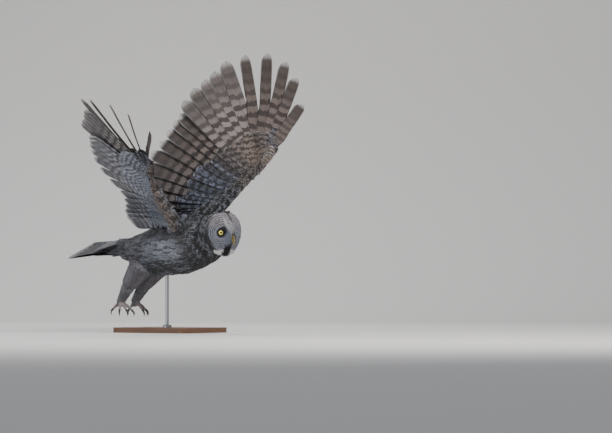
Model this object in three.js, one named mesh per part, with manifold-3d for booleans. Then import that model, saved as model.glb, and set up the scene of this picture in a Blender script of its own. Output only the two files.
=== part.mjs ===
// Great grey owl taking off, as a still life-size model on a plain display stand.
// Millimetres. +X is the way the bird flies, +Y its left, +Z up. The origin is the middle of the
// underside of the stand's base, on the floor.
import * as THREE from 'three';
import { mergeVertices } from 'three/addons/utils/BufferGeometryUtils.js';
import Module from 'manifold-3d';

const wasm = await Module();
wasm.setup();

const { lerp, degToRad } = THREE.MathUtils;

const GAP = 0.3; // air kept between neighbouring pieces

// Stand
const BASE_LENGTH = 320;
const BASE_WIDTH = 260;
const BASE_THICK = 18;
const BASE_CORNER = 26;
const ROD_RADIUS = 6;
const ROD_X = -12;
const ROD_TOP = 260; // inside the trunk, whose underside trims it
const ROD_SIDES = 20;
const COLLAR_RADIUS = 15;
const COLLAR_HEIGHT = 9;
const COLLAR_BEVEL = 2;

// Trunk: place along X, top, bottom and half width of each section, from the tail root to the breast
const TRUNK = [
  [-214, 308, 266, 26], [-178, 322, 250, 43], [-125, 340, 230, 63], [-62, 362, 206, 80],
  [8, 380, 196, 88], [78, 388, 202, 88], [140, 386, 222, 80], [186, 372, 244, 68], [212, 350, 264, 46],
];
const TRUNK_SIDES = 20;
const TRUNK_WAIST = 0.56; // height of the widest place between bottom and top
const TAIL_PARTING = 14; // from the trunk's back end to the cut that the tail starts at
const TRUNK_BACK_END = [-222, 287];
const TRUNK_FRONT_END = [222, 308];
const NECK_X = 146; // the cut between torso and neck

// Head
const HEAD_CENTRE = new THREE.Vector3(217, -13, 351);
const FACE_TURN = degToRad(-10); // the face looks a little to the bird's right
const DISC_HALF_WIDTH = 83;
const DISC_HALF_HEIGHT = 68;
const CHIN_DROP = 88; // from the head's centre down to the chin
const DISC_PINCH = 0.06; // the disc is a little squarer than an ellipse
const FACE_DEPTH = 60; // from the head's centre to the middle of the face
const FACE_CURVE = { across: 29, up: 17 }; // how far the disc falls back at its side and at its top
const BOWL = { depth: 16, radius: 20, outward: 4 }; // the hollow round each eye, its middle outside the eye
const RIDGE = { height: 26, radius: 8, up: -10, reach: 42 }; // the ridge of feathers between the eyes
const RIM_RISE = 4;
const RIM_DROP = 5; // the disc's edge turns back by this
const FACE_RINGS = [0.22, 0.42, 0.6, 0.78, 0.93, 1]; // from the middle of the face to the disc's edge
const FACE_SIDES = 24;
const HEAD_BACK = 66;
const HEAD_BACK_TURNS = [12, 30, 50, 68]; // degrees from the disc's edge to the back of the head
const HEAD_BACK_ROUND = 0.85;
const EYE_SIDE = 26;
const EYE_UP = -6;
const EYE_RADIUS = 12;
const EYE_DEPTH = 36;
const EYE_OUTWARD = 0.42; // how far each eye looks to its own side
const LID = { radius: 10.8, thick: 2.4, forward: 6.2 };
const BILL_TOP = -20;
const BILL_LENGTH = 30;
const BILL_WIDTH = 15;
const BILL_FORWARD = 12; // from the face to the bill's base
const BILL_STEPS = 6;
const BILL_SIDES = 10;
const NOSTRIL_RADIUS = 1.7;
const NOSTRIL_DROP = 5; // below the top of the bill

// Halves of the bill: share of the length, how deep its section is, how far its base lies under and
// behind the top of the bill, and how far its tip stands ahead of its base
const UPPER_BILL = { share: 1, section: 1.1, thick: 0.5, under: 0, behind: 0, root: [-9, 6], tip: [10, 1] };
const LOWER_BILL = {
  share: 0.66, section: 0.7, thick: 0.3, under: 5, behind: 3, root: [-13, 0], tip: [3, 0.86],
};

// Wings: where the shoulder and the wrist are, the way the longest primary points, and the way the
// chord runs back from it, each as the photo shows it
const SHOULDER = { left: [78, 50, 352], right: [78, -50, 352] };
const WRIST = { left: [226, 176, 556], right: [80, -236, 538] };
const HAND_AXIS = { left: [-0.186, 0.356, 0.916], right: [0.0, -0.83, 0.56] };
const HAND_CHORD = { left: [-0.854, -0.52, 0.029], right: [-1, 0.03, 0.03] };
const ARM_CHORD = { left: [-0.90, -0.42, 0.02], right: [-0.86, 0.50, 0.04] };
// By the body the feathers lie along it
const BODY_CHORD = { left: [-0.99, 0.04, 0.10], right: [-0.99, -0.04, 0.02] };
const FAN = { left: 1, right: 0.34 }; // how far the fan of primaries is open
const ELBOW_BACK = 34;
const ELBOW_SHARE = 0.47; // of the way from shoulder to wrist
const ELBOW_PLACE = 0.62; // where the elbow is along the row of secondaries
const LEADING_EDGE = 15; // how far the skin and small feathers stand ahead of the bones
const MANUS_LENGTH = 100;
const MANUS_ANGLE = -40;
const HAND_PARTING = 2; // from the wrist to the cut between hand and arm

// Primaries from the innermost out: angle from the longest one, and length
const PRIMARY_ANGLE = [44, 37, 30.5, 25.5, 19.5, 10.5, 0, -9.5, -18, -33];
const PRIMARY_LENGTH = [352, 362, 371, 382, 398, 402, 388, 358, 300, 205];
const INNER_PRIMARY_SCALE = { left: 1, right: 0.87 }; // the near wing is a little closed
const FINGER_RANK = 5; // from this primary out, the vane is narrow
const FINGERS = 5;
const FINGER_WIDTH = 47;
const FINGER_TWIST = { left: 0, right: degToRad(52) }; // near wing: the last one is seen edge on
const PRIMARY_ROOT = { first: 0.08, step: 0.1, back: 12 }; // places along the hand and behind its bone
const PRIMARY_WIDTH = 51;
const PRIMARY_BOW = 14;
const PRIMARY_SWEEP = 6;
const SECONDARY_COUNT = 13;
const SECONDARY_LENGTH = { left: [334, 298, 224], right: [270, 228, 168] }; // wrist, elbow, by the body
const SECONDARY_WIDTH = 60;
const SECONDARY_BOW = -4;
const SECONDARY_BACK = 8; // roots behind the bone
const SECONDARY_START = 49; // angle of the outermost secondary from the longest primary
const VANE_THICK = 0.9;
const VANE_THINNING = 0.35; // share of the thickness lost towards the tip
const VANE_BASE = 0.34; // width at the root as a share of the full width
const VANE_WIDENING = 1.5;
const VANE_NARROWS_AT = 0.72;
const VANE_TIP_WIDTH = 0.72;
const VANE_TIP_REACH = 0.22; // how far the tip runs on, as a share of its width
const SHINGLE_TURN = degToRad(4.5); // each vane is turned a little over the next

// Tiers of coverts. Every `every`th flight feather carries one: how long and wide it is, how far its
// root stands ahead of the flight feather's and above the bone, and how far its tip comes down again
const COVERTS = [
  { every: 2, length: [112, 108, 92], width: 68, ahead: 10, rise: [5, 10], settle: 2 },
  { every: 3, length: [66, 64, 58], width: 88, ahead: 15, rise: [7, 14], settle: 5 },
  { every: 4, length: [92, 96, 80], width: 104, ahead: 4, rise: [-6, -10], settle: -5 },
];
const COVERT_RANKS = 7; // the outermost primaries stand free of the coverts
const COVERT_VARIATION = 0.05;
const COVERT_SETTLE = 0.55; // share of its height that a covert comes down again
const COVERT_HAND_WIDTH = 0.82;
const ALULA_LENGTH = [96, 70];
const ALULA_WIDTH = 24;
const SCAPULAR_LENGTH = [128, 114, 98];
const SCAPULAR_WIDTH = 46;
const SCAPULAR_BOW = -8;

// Tail
const TAIL_ROOT = [-196, 0, 291];
// Place along the flesh of the tail, half width and half height
const TAIL_FLESH = [[0, 31, 27], [0.3, 30, 22], [0.62, 23, 13], [1, 11, 5]];
const TAIL_DROP = degToRad(7);
const TAIL_PAIRS = 6;
const TAIL_LENGTH = 230;
const TAIL_FAN = degToRad(10);
const TAIL_GRADE = 12; // each pair is this much shorter than the one inside it
const TAIL_WIDTH = 46;
const TAIL_BOW = -3;
const TAIL_PAIR_STEP = 2.2; // each pair lies this much lower than the one inside it
const TAIL_SIDE_STEP = 1.1; // the right one of a pair lies this much under the left one
const TAIL_ROOT_SPREAD = [2, 18]; // innermost root from the middle, and how much farther the outermost is
const TAIL_ROLL = degToRad(24); // the right side hangs lower
const TAIL_ROOF = 0.42; // turn of the outermost feathers, so that the tail is arched across
const TAIL_CORE = 96;
const TAIL_COVERT_LENGTH = [112, 94]; // the middle one and the outer one of each side
const TAIL_COVERT_WIDTH = 50;
const TAIL_COVERT_RISE = { above: 22, below: -20 };

// Legs: hip, hock and ankle, as x, distance from the middle and z, and their radii
const LEG = {
  left: { hip: [-78, 40, 236], hock: [-134, 37, 172], ankle: [-176, 32, 106] },
  right: { hip: [-88, -40, 236], hock: [-144, -37, 172], ankle: [-190, -32, 106] },
};
const THIGH_RADIUS = [48, 32];
const SHANK_RADIUS = [27, 17];
const THIGH_CLEFT = 2; // from the middle to the inner side of each thigh
const TOE_LENGTHS = [42, 46, 40, 30];
const TOE_TURNS = [22, -14, 58, 168];
const TOE_RADIUS = 7;
const TOE_DROP = 10;
const HEEL = { down: 9, radius: 13 };
const CLAW_LENGTH = 24;
const CLAW_START = 4; // from the middle of the toe's end face
const CLAW_BEND = [[0.40, 0.50], [0.28, 1]]; // knuckle and point, ahead and down, in claw lengths
const CLAW_RADIUS = [4, 2.8, 0.6];

const COLOURS = {
  plumage: 0x6b6663, face: 0xa9a5a0, bill: 0xcda73a, eye: 0xe2bd2c, foot: 0xb3a697, claw: 0x2a2623,
  wood: 0x6f4d31, steel: 0x9a9c9e,
};

const UP = new THREE.Vector3(0, 0, 1);
const DOWN = new THREE.Vector3(0, 0, -1);
const LEFT = new THREE.Vector3(0, 1, 0);
const v3 = (p) => (p.isVector3 ? p.clone() : new THREE.Vector3(...p));
const along = (origin, ...steps) => {
  const p = v3(origin);
  for (const [direction, distance] of steps) p.addScaledVector(direction, distance);
  return p;
};
const LIMB_CAP = 0.35; // how far the end of a limb is rounded out, in radii
const smooth = (t) => t * t * (3 - 2 * t);

// Repeatable scatter between -1 and 1
function seeded(seed) {
  let state = seed;
  return () => {
    state = (state * 16807) % 2147483647;
    return (2 * state) / 2147483647 - 1;
  };
}

// A number read from a short list of values spaced evenly over 0 to 1
function between(values, t) {
  const place = THREE.MathUtils.clamp(t, 0, 1) * (values.length - 1);
  const i = Math.min(Math.floor(place), values.length - 2);
  return lerp(values[i], values[i + 1], place - i);
}

// Closed solid from corner points and triangles
function solid(points, faces) {
  const vertProperties = new Float32Array(points.flatMap((p) => [p.x, p.y, p.z]));
  const mesh = new wasm.Mesh({ numProp: 3, vertProperties, triVerts: new Uint32Array(faces.flat()) });
  const made = new wasm.Manifold(mesh);
  return made.volume() < 0 ? solid(points, faces.map(([a, b, c]) => [a, c, b])) : made;
}

// Solid through rings of the same number of points, closed by a point at each end
function loft(rings, first, last) {
  const sides = rings[0].length;
  const points = rings.flat();
  const faces = [];
  for (let r = 0; r + 1 < rings.length; r++) {
    for (let i = 0; i < sides; i++) {
      const a = r * sides + i;
      const b = r * sides + ((i + 1) % sides);
      faces.push([a, b, b + sides], [a, b + sides, a + sides]);
    }
  }
  const startPole = points.length;
  const lastRing = (rings.length - 1) * sides;
  points.push(v3(first), v3(last));
  for (let i = 0; i < sides; i++) {
    const j = (i + 1) % sides;
    faces.push([startPole, j, i], [startPole + 1, lastRing + i, lastRing + j]);
  }
  return solid(points, faces);
}

function solidFromGeometry(geometry) {
  const bare = geometry.clone();
  for (const name of Object.keys(bare.attributes)) {
    if (name !== 'position') bare.deleteAttribute(name);
  }
  const merged = mergeVertices(bare, 1e-4);
  const vertProperties = new Float32Array(merged.attributes.position.array);
  const triVerts = new Uint32Array(merged.index.array);
  return new wasm.Manifold(new wasm.Mesh({ numProp: 3, vertProperties, triVerts }));
}

const fuse = (solids) => wasm.Manifold.union(solids);

// The largest closed body of a solid: fills hollows sealed by joining and drops loose scraps
function largestBody(body) {
  const closed = body.decompose().filter((b) => b.volume() > 0);
  closed.sort((a, b) => b.volume() - a.volume());
  return closed[0];
}

// Ellipse of points round a centre, in the plane of two directions
function ellipse(centre, side, sideRadius, up, upRadius, count, lower = upRadius) {
  return Array.from({ length: count }, (_, i) => {
    const turn = (2 * Math.PI * i) / count;
    const rise = Math.sin(turn);
    return along(centre, [side, Math.cos(turn) * sideRadius], [up, rise * (rise > 0 ? upRadius : lower)]);
  });
}

// Round limb along a smooth line through a few points
function limb(stations, radii, count) {
  const path = new THREE.CatmullRomCurve3(stations.map(v3));
  const steps = 2 * (stations.length - 1) + 2;
  const rings = [];
  for (let s = 0; s <= steps; s++) {
    const t = s / steps;
    const tangent = path.getTangent(t);
    const side = new THREE.Vector3().crossVectors(UP, tangent);
    if (side.length() < 0.2) side.copy(LEFT);
    side.normalize();
    const up = new THREE.Vector3().crossVectors(tangent, side).normalize();
    const radius = between(radii, t);
    rings.push(ellipse(path.getPoint(t), side, radius, up, radius, count));
  }
  const first = along(path.getPoint(0), [path.getTangent(0), -LIMB_CAP * between(radii, 0)]);
  const last = along(path.getPoint(1), [path.getTangent(1), LIMB_CAP * between(radii, 1)]);
  return loft(rings, first, last);
}

// One feather vane: a thin tapered plate from its root to its tip. `out` is the way it points, `side`
// runs across it, `face` is the way its upper face looks, and it bends by `bow` towards `face`.
function vane({ root, out, side, face, length, width, bow = 0, sweep = 0, steps = 5, tipWidth = 0.7 }) {
  const points = [];
  for (let s = 0; s <= steps; s++) {
    const t = s / steps;
    const narrowing = smooth(Math.max(0, (t - VANE_NARROWS_AT) / (1 - VANE_NARROWS_AT)));
    const full = Math.min(1, VANE_BASE + VANE_WIDENING * t) * (1 - (1 - tipWidth) * narrowing);
    const half = 0.5 * width * full;
    const centre = along(root, [out, length * t], [face, bow * t * t], [side, sweep * t * t]);
    const depth = 0.5 * VANE_THICK * (1 - VANE_THINNING * t);
    for (const [across, rise] of [[-1, 1], [1, 1], [1, -1], [-1, -1]]) {
      points.push(along(centre, [side, across * half], [face, rise * depth]));
    }
  }
  const faces = [];
  for (let s = 0; s < steps; s++) {
    const a = 4 * s;
    const b = a + 4;
    faces.push([a, a + 1, b + 1], [a, b + 1, b], [a + 3, b + 2, a + 2], [a + 3, b + 3, b + 2]);
    faces.push([a + 1, a + 2, b + 2], [a + 1, b + 2, b + 1], [a + 3, a, b], [a + 3, b, b + 3]);
  }
  // the tip runs out to one more pair of corners
  const last = 4 * steps;
  const reach = length + VANE_TIP_REACH * width * tipWidth;
  const end = along(root, [out, reach], [face, bow * (1 + 0.2 * VANE_TIP_REACH)], [side, sweep]);
  points.push(along(end, [face, 0.3 * VANE_THICK]), along(end, [face, -0.3 * VANE_THICK]));
  const n = points.length;
  faces.push([0, 2, 1], [0, 3, 2]);
  faces.push([last, last + 1, n - 2], [last + 3, n - 1, last + 2]);
  faces.push([last + 1, last + 2, n - 1], [last + 1, n - 1, n - 2]);
  faces.push([last + 3, last, n - 2], [last + 3, n - 2, n - 1]);
  return solid(points, faces);
}

// The whole trunk, from the tail root to the breast, grown by `extra` all round
function trunk(extra = 0) {
  const rings = TRUNK.map(([x, top, bottom, half]) => {
    const z = lerp(bottom, top, TRUNK_WAIST);
    return ellipse([x, 0, z], LEFT, half + extra, UP, top - z + extra, TRUNK_SIDES, z - bottom + extra);
  });
  const [backX, backZ] = TRUNK_BACK_END;
  const [frontX, frontZ] = TRUNK_FRONT_END;
  return loft(rings, [backX - extra, 0, backZ], [frontX + extra, 0, frontZ]);
}

// Directions of the head: the way the face looks, the bird's left and up
const face = {
  out: new THREE.Vector3(Math.cos(FACE_TURN), Math.sin(FACE_TURN), 0),
  left: new THREE.Vector3(-Math.sin(FACE_TURN), Math.cos(FACE_TURN), 0),
  up: UP,
};
const onHead = (out, left, up) => along(HEAD_CENTRE, [face.out, out], [face.left, left], [face.up, up]);

const hill = (x, width) => Math.exp(-(x * x) / (2 * width * width));
const bowl = (across, up, sign) => (
  BOWL.depth * hill(across - sign * (EYE_SIDE + BOWL.outward), BOWL.radius) * hill(up - EYE_UP, BOWL.radius)
);

// How far the face stands out at a place across and up it: two shallow round discs, each turned
// outwards, with a ridge between the eyes and a raised rim
function faceRelief(across, up, rim) {
  const sideways = FACE_CURVE.across * (across / DISC_HALF_WIDTH) ** 2;
  const upwards = FACE_CURVE.up * (up / DISC_HALF_HEIGHT) ** 2;
  const dome = FACE_DEPTH - sideways - upwards;
  const crest = RIDGE.height * hill(across, RIDGE.radius) * hill(up - RIDGE.up, RIDGE.reach);
  const ridge = crest * (1 - rim ** 4);
  return dome - bowl(across, up, 1) - bowl(across, up, -1) + ridge + RIM_RISE * rim ** 6;
}

function headShape(extra = 0) {
  const outline = (turn) => {
    const wide = (DISC_HALF_WIDTH + extra) * (1 - DISC_PINCH * Math.abs(Math.sin(turn)));
    const high = turn > Math.PI ? CHIN_DROP + extra : DISC_HALF_HEIGHT + extra;
    return [wide * Math.cos(turn), high * Math.sin(turn)];
  };
  const edge = Array.from({ length: FACE_SIDES }, (_, i) => outline((2 * Math.PI * i) / FACE_SIDES));
  const rings = FACE_RINGS.map((rim) => edge.map(([across, up]) => {
    const drop = rim === 1 ? RIM_DROP : 0;
    return onHead(faceRelief(rim * across, rim * up, rim) - drop + extra, rim * across, rim * up);
  }));
  for (const turn of HEAD_BACK_TURNS) {
    const shrink = Math.cos(degToRad(turn)) ** HEAD_BACK_ROUND;
    const back = Math.sin(degToRad(turn)) * (HEAD_BACK + extra);
    rings.push(edge.map(([across, up]) => {
      const start = faceRelief(across, up, 1) - RIM_DROP;
      return onHead(lerp(start, -back, smooth(Math.min(1, turn / 40))), across * shrink, up * shrink);
    }));
  }
  return loft(rings, onHead(faceRelief(0, 0, 0) + extra, 0, 0), onHead(-HEAD_BACK - extra, 0, 2));
}

const eyeCentre = (sign) => onHead(EYE_DEPTH, sign * EYE_SIDE, EYE_UP);

function ball(centre, radius, wide = 14, high = 8) {
  const geometry = new THREE.SphereGeometry(radius, wide, high);
  geometry.translate(centre.x, centre.y, centre.z);
  return solidFromGeometry(geometry);
}

// Lid: a thin ring of skin round the eye opening
function lid(sign) {
  const looks = along(face.out, [face.left, EYE_OUTWARD * sign]).normalize();
  const geometry = new THREE.TorusGeometry(LID.radius, LID.thick, 6, 16);
  geometry.applyQuaternion(new THREE.Quaternion().setFromUnitVectors(UP, looks));
  const at = along(eyeCentre(sign), [looks, LID.forward]);
  geometry.translate(at.x, at.y, at.z);
  return solidFromGeometry(geometry);
}

// Place and slope of the line that a half of the bill follows, t being 0 at its base and 1 at its tip
function billLine(half, t) {
  const length = BILL_LENGTH * half.share * t;
  if (half === LOWER_BILL) {
    const bend = degToRad(52);
    return { bend, out: 0.42 * length * Math.cos(bend), fall: length * Math.sin(bend) };
  }
  const bend = degToRad(lerp(34, 96, t));
  const slope = degToRad(lerp(28, 72, t));
  return { bend, out: 0.62 * length * Math.cos(0.75 * bend), fall: length * Math.sin(slope) };
}

function billShape(half, extra = 0) {
  const depth = FACE_DEPTH + BILL_FORWARD;
  const top = BILL_TOP - half.under;
  const rings = Array.from({ length: BILL_STEPS }, (_, s) => {
    const t = s / BILL_STEPS;
    const { bend, out, fall } = billLine(half, t);
    const radius = half.thick * BILL_WIDTH * Math.sqrt(1 - t) + extra;
    const normal = along([0, 0, 0], [face.out, Math.sin(bend)], [face.up, Math.cos(bend)]).normalize();
    const centre = onHead(depth - half.behind + out, 0, top - fall);
    return ellipse(centre, face.left, radius * 0.86, normal, radius * half.section, BILL_SIDES);
  });
  const base = onHead(depth + half.root[0], 0, BILL_TOP + half.root[1]);
  const tip = onHead(depth + half.tip[0], 0, top - half.tip[1] * BILL_LENGTH * half.share);
  return loft(rings, base, tip);
}

// Frame of one wing: its joints, the hand's directions and the way its upper side looks
function wingFrame(side) {
  const sign = side === 'left' ? 1 : -1;
  const shoulder = v3(SHOULDER[side]);
  const wrist = v3(WRIST[side]);
  const axis = v3(HAND_AXIS[side]).normalize();
  const chord = v3(HAND_CHORD[side]);
  chord.addScaledVector(axis, -chord.dot(axis)).normalize();
  const upper = new THREE.Vector3().crossVectors(axis, chord).multiplyScalar(sign).normalize();
  const armChord = v3(ARM_CHORD[side]).normalize();
  const armAxis = wrist.clone().sub(shoulder).normalize();
  const armUpper = new THREE.Vector3().crossVectors(armAxis, armChord).multiplyScalar(sign).normalize();
  const bodyChord = v3(BODY_CHORD[side]).normalize();
  const elbow = along(shoulder.clone().lerp(wrist, ELBOW_SHARE), [armChord, ELBOW_BACK]);
  const inHand = (degrees) => {
    const turn = degToRad(degrees);
    return along([0, 0, 0], [axis, Math.cos(turn)], [chord, Math.sin(turn)]);
  };
  const handEnd = along(wrist, [inHand(MANUS_ANGLE), MANUS_LENGTH]);
  return {
    sign, shoulder, wrist, elbow, handEnd, chord, upper, armChord, armUpper, armAxis, bodyChord, inHand,
    fan: FAN[side],
    fingerTwist: FINGER_TWIST[side],
    innerScale: INNER_PRIMARY_SCALE[side],
    secondaryLength: SECONDARY_LENGTH[side],
  };
}

// The flight feathers of a wing in order from the outermost primary to the innermost secondary, each
// with its root, direction and length
function flightFeathers(wing) {
  const feathers = [];
  for (let i = 9; i >= 0; i--) {
    const out = wing.inHand(PRIMARY_ANGLE[i] * (PRIMARY_ANGLE[i] > 0 ? wing.fan : 1));
    const onBone = wing.wrist.clone().lerp(wing.handEnd, PRIMARY_ROOT.first + PRIMARY_ROOT.step * i);
    const root = along(onBone, [wing.chord, PRIMARY_ROOT.back]);
    const length = PRIMARY_LENGTH[i] * (i < FINGER_RANK ? wing.innerScale : 1);
    feathers.push({ kind: 'primary', rank: i, t: 0, root, out, length, upper: wing.upper.clone() });
  }
  const atWrist = wing.inHand(SECONDARY_START * wing.fan);
  for (let j = 0; j < SECONDARY_COUNT; j++) {
    const t = (j + 0.4) / (SECONDARY_COUNT - 0.2);
    const out = atWrist.clone().lerp(wing.armChord, smooth(Math.min(1, 1.25 * t)));
    out.lerp(wing.bodyChord, smooth(Math.max(0, (t - 0.5) / 0.5))).normalize();
    const bone = t < ELBOW_PLACE
      ? wing.wrist.clone().lerp(wing.elbow, t / ELBOW_PLACE)
      : wing.elbow.clone().lerp(wing.shoulder, (t - ELBOW_PLACE) / 0.5);
    const upper = wing.upper.clone().lerp(wing.armUpper, smooth(t)).normalize();
    const root = bone.addScaledVector(wing.armChord, SECONDARY_BACK);
    const length = between(wing.secondaryLength, t);
    feathers.push({ kind: 'secondary', rank: j, t, root, out, length, upper });
  }
  return feathers;
}

// Sides of a vane: across it, and the way its face looks, turned a little to lie over the next one
function vaneSides(feather, wing, turn = SHINGLE_TURN) {
  const side = new THREE.Vector3().crossVectors(feather.upper, feather.out).normalize();
  const faceOut = new THREE.Vector3().crossVectors(feather.out, side).normalize();
  const swing = turn * wing.sign;
  const turned = along([0, 0, 0], [side, Math.cos(swing)], [faceOut, Math.sin(swing)]);
  return { side: turned, face: new THREE.Vector3().crossVectors(feather.out, turned).normalize() };
}

// Flesh of the wing with its leading edge, from inside the shoulder to the tip of the hand
function wingCore(wing) {
  const { shoulder, wrist, handEnd, armChord, armUpper, chord: handChord, upper: handUpper } = wing;
  // each station: place, chord, upper side, half chord, half thickness and how far back its middle lies
  const stations = [
    [along(shoulder, [wing.armAxis, -14]), armChord, armUpper, 50, 24, 26],
    [shoulder.clone().lerp(wrist, 0.25), armChord, armUpper, 54, 20, 34],
    [shoulder.clone().lerp(wrist, 0.5), armChord, armUpper, 50, 15, 34],
    [shoulder.clone().lerp(wrist, 0.75), armChord, armUpper, 38, 12, 26],
    [wrist, armChord.clone().add(handChord).normalize(), handUpper, 27, 10.5, 14],
    [wrist.clone().lerp(handEnd, 0.5), handChord, handUpper, 19, 8, 10],
    [handEnd, handChord, handUpper, 11, 5, 8],
  ];
  const rings = stations.map(([at, chord, upper, half, deep, back]) => (
    ellipse(along(at, [chord, back - LEADING_EDGE]), chord, half, upper, deep, 12)
  ));
  const first = along(shoulder, [wing.armAxis, -30], [armChord, 18]);
  return loft(rings, first, along(handEnd, [wing.inHand(MANUS_ANGLE), 9]));
}

// Coverts of one tier, each over or under its own flight feather
function covertTier(wing, flights, tier, random) {
  const solids = [];
  for (const [i, feather] of flights.entries()) {
    if (i % tier.every !== 1) continue;
    const primary = feather.kind === 'primary';
    if (primary && feather.rank >= COVERT_RANKS) continue;
    const rise = tier.rise[primary ? 0 : 1];
    const length = between(tier.length, feather.t) * (1 + COVERT_VARIATION * random());
    const chord = primary ? wing.chord : wing.armChord;
    const root = along(feather.root, [chord, -tier.ahead], [feather.upper, rise]);
    const settle = tier.settle - COVERT_SETTLE * rise;
    const out = along([0, 0, 0], [feather.out, length], [feather.upper, settle]).normalize();
    const { side, face: faceOut } = vaneSides({ upper: feather.upper, out }, wing);
    const width = tier.width * (primary ? COVERT_HAND_WIDTH : 1);
    solids.push(vane({ root, out, side, face: faceOut, length, width, steps: 2 }));
  }
  return solids;
}

// The stiff feathers of the thumb, laid along the leading edge of the hand
function alula(wing) {
  return ALULA_LENGTH.map((length, i) => {
    const onHand = along(wing.wrist, [wing.inHand(MANUS_ANGLE), 10 + 6 * i]);
    const root = along(onHand, [wing.chord, -12], [wing.upper, 7 + 1.5 * i]);
    const out = wing.inHand(MANUS_ANGLE + 14 - 3 * i);
    const { side, face: faceOut } = vaneSides({ upper: wing.upper, out }, wing);
    return vane({ root, out, side, face: faceOut, length, width: ALULA_WIDTH, steps: 2 });
  });
}

// Scapulars: the shoulder feathers that lie back over the innermost secondaries
function scapulars(wing) {
  return SCAPULAR_LENGTH.map((length, i) => {
    const onArm = along(wing.shoulder, [wing.armAxis, 8 + 19 * i]);
    const root = along(onArm, [wing.armChord, 6], [wing.armUpper, 17 - i]);
    const out = along(wing.bodyChord, [wing.armChord, 0.16 * i], [wing.armUpper, 0.04]).normalize();
    const { side, face: faceOut } = vaneSides({ upper: wing.armUpper, out }, wing);
    const shape = { width: SCAPULAR_WIDTH, bow: SCAPULAR_BOW, steps: 2 };
    return vane({ root, out, side, face: faceOut, length, ...shape });
  });
}

// All feathers of a wing: the flight feathers, two tiers of coverts above and one below, the thumb's
// feathers and the scapulars
function wingFeathers(wing) {
  const flights = flightFeathers(wing);
  const solids = flights.map((feather) => {
    const primary = feather.kind === 'primary';
    const finger = primary && feather.rank >= FINGER_RANK;
    const twist = finger ? wing.fingerTwist * ((feather.rank - FINGER_RANK + 1) / FINGERS) : 0;
    const { side, face: faceOut } = vaneSides(feather, wing, SHINGLE_TURN + twist);
    const shape = primary
      ? { width: finger ? FINGER_WIDTH : PRIMARY_WIDTH, bow: PRIMARY_BOW, sweep: wing.sign * PRIMARY_SWEEP }
      : { width: SECONDARY_WIDTH, bow: SECONDARY_BOW };
    const steps = finger || !primary ? 3 : 4;
    const { root, out, length } = feather;
    return vane({ root, out, side, face: faceOut, length, tipWidth: VANE_TIP_WIDTH, steps, ...shape });
  });
  const random = seeded(wing.sign > 0 ? 11 : 29);
  for (const tier of COVERTS) solids.push(...covertTier(wing, flights, tier, random));
  return [...solids, ...alula(wing), ...scapulars(wing)];
}

function wingWhole(side) {
  const wing = wingFrame(side);
  return { wing, body: fuse([wingCore(wing), ...wingFeathers(wing)]) };
}

// Frame of the tail: the way it points, across it and the way its upper side looks
function tailFrame() {
  const back = new THREE.Vector3(-Math.cos(TAIL_DROP), 0, -Math.sin(TAIL_DROP));
  const across = new THREE.Vector3(0, 1, 0).applyAxisAngle(back, -TAIL_ROLL);
  const upper = new THREE.Vector3().crossVectors(back, across).normalize();
  return { root: v3(TAIL_ROOT), back, across, upper };
}

// One feather of the tail, `place` being 0 in the middle and 1 at the side
function tailFeather(tail, sign, place, { start, length, width, height, slope, steps }) {
  const spread = sign * TAIL_FAN * place;
  const heading = along([0, 0, 0], [tail.back, Math.cos(spread)], [tail.across, Math.sin(spread)]);
  const out = along(heading, [tail.upper, slope]).normalize();
  const flat = along([0, 0, 0], [tail.across, Math.cos(spread)], [tail.back, -Math.sin(spread)]);
  const tilt = sign * TAIL_ROOF * place;
  const side = along([0, 0, 0], [flat, Math.cos(tilt)], [tail.upper, -Math.sin(tilt)]);
  const faceOut = along([0, 0, 0], [tail.upper, Math.cos(tilt)], [flat, Math.sin(tilt)]);
  const fall = sign > 0 ? 0 : TAIL_SIDE_STEP;
  const [inner, spreadOut] = TAIL_ROOT_SPREAD;
  const atRoot = along(tail.root, [tail.back, start], [tail.across, sign * (inner + spreadOut * place)]);
  const root = along(atRoot, [tail.upper, height - fall]);
  return vane({ root, out, side, face: faceOut, length, width, bow: TAIL_BOW, steps });
}

// Tail: pairs of feathers that overlap, the middle pair on top, between the upper and lower tail coverts
function tailShape() {
  const tail = tailFrame();
  const rings = TAIL_FLESH.map(([t, wide, deep]) => (
    ellipse(along(tail.root, [tail.back, TAIL_CORE * t]), tail.across, wide, tail.upper, deep, 12)
  ));
  const ends = [-8, TAIL_CORE + 8].map((place) => along(tail.root, [tail.back, place]));
  const solids = [loft(rings, ...ends)];
  for (const sign of [1, -1]) {
    for (let i = 0; i < TAIL_PAIRS; i++) {
      const place = (i + 0.5) / TAIL_PAIRS;
      const length = TAIL_LENGTH - TAIL_GRADE * i;
      const height = 4 - TAIL_PAIR_STEP * i;
      const shape = { start: 12, length, width: TAIL_WIDTH, height, slope: 0, steps: 2 };
      solids.push(tailFeather(tail, sign, place, shape));
    }
    for (const [i, length] of TAIL_COVERT_LENGTH.entries()) {
      const place = (i + 0.4) / TAIL_COVERT_LENGTH.length;
      for (const [where, rise] of Object.entries(TAIL_COVERT_RISE)) {
        const height = rise - (where === 'above' ? 3.5 * i : 1.5 * i);
        const shape = { start: 2, length, width: TAIL_COVERT_WIDTH, height, slope: -rise / 260, steps: 1 };
        solids.push(tailFeather(tail, sign, place, shape));
      }
    }
  }
  return fuse(solids);
}

// One toe: a bent, feathered finger that hangs from the ankle
function toe(ankle, turn, length) {
  const heading = degToRad(turn);
  const ahead = new THREE.Vector3(Math.cos(heading), Math.sin(heading), 0);
  const middle = along(ankle, [ahead, 0.55 * length], [DOWN, TOE_DROP]);
  const end = along(ankle, [ahead, 0.92 * length], [DOWN, TOE_DROP + 0.34 * length]);
  return { start: along(ankle, [ahead, 4]), middle, end, ahead };
}

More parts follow.
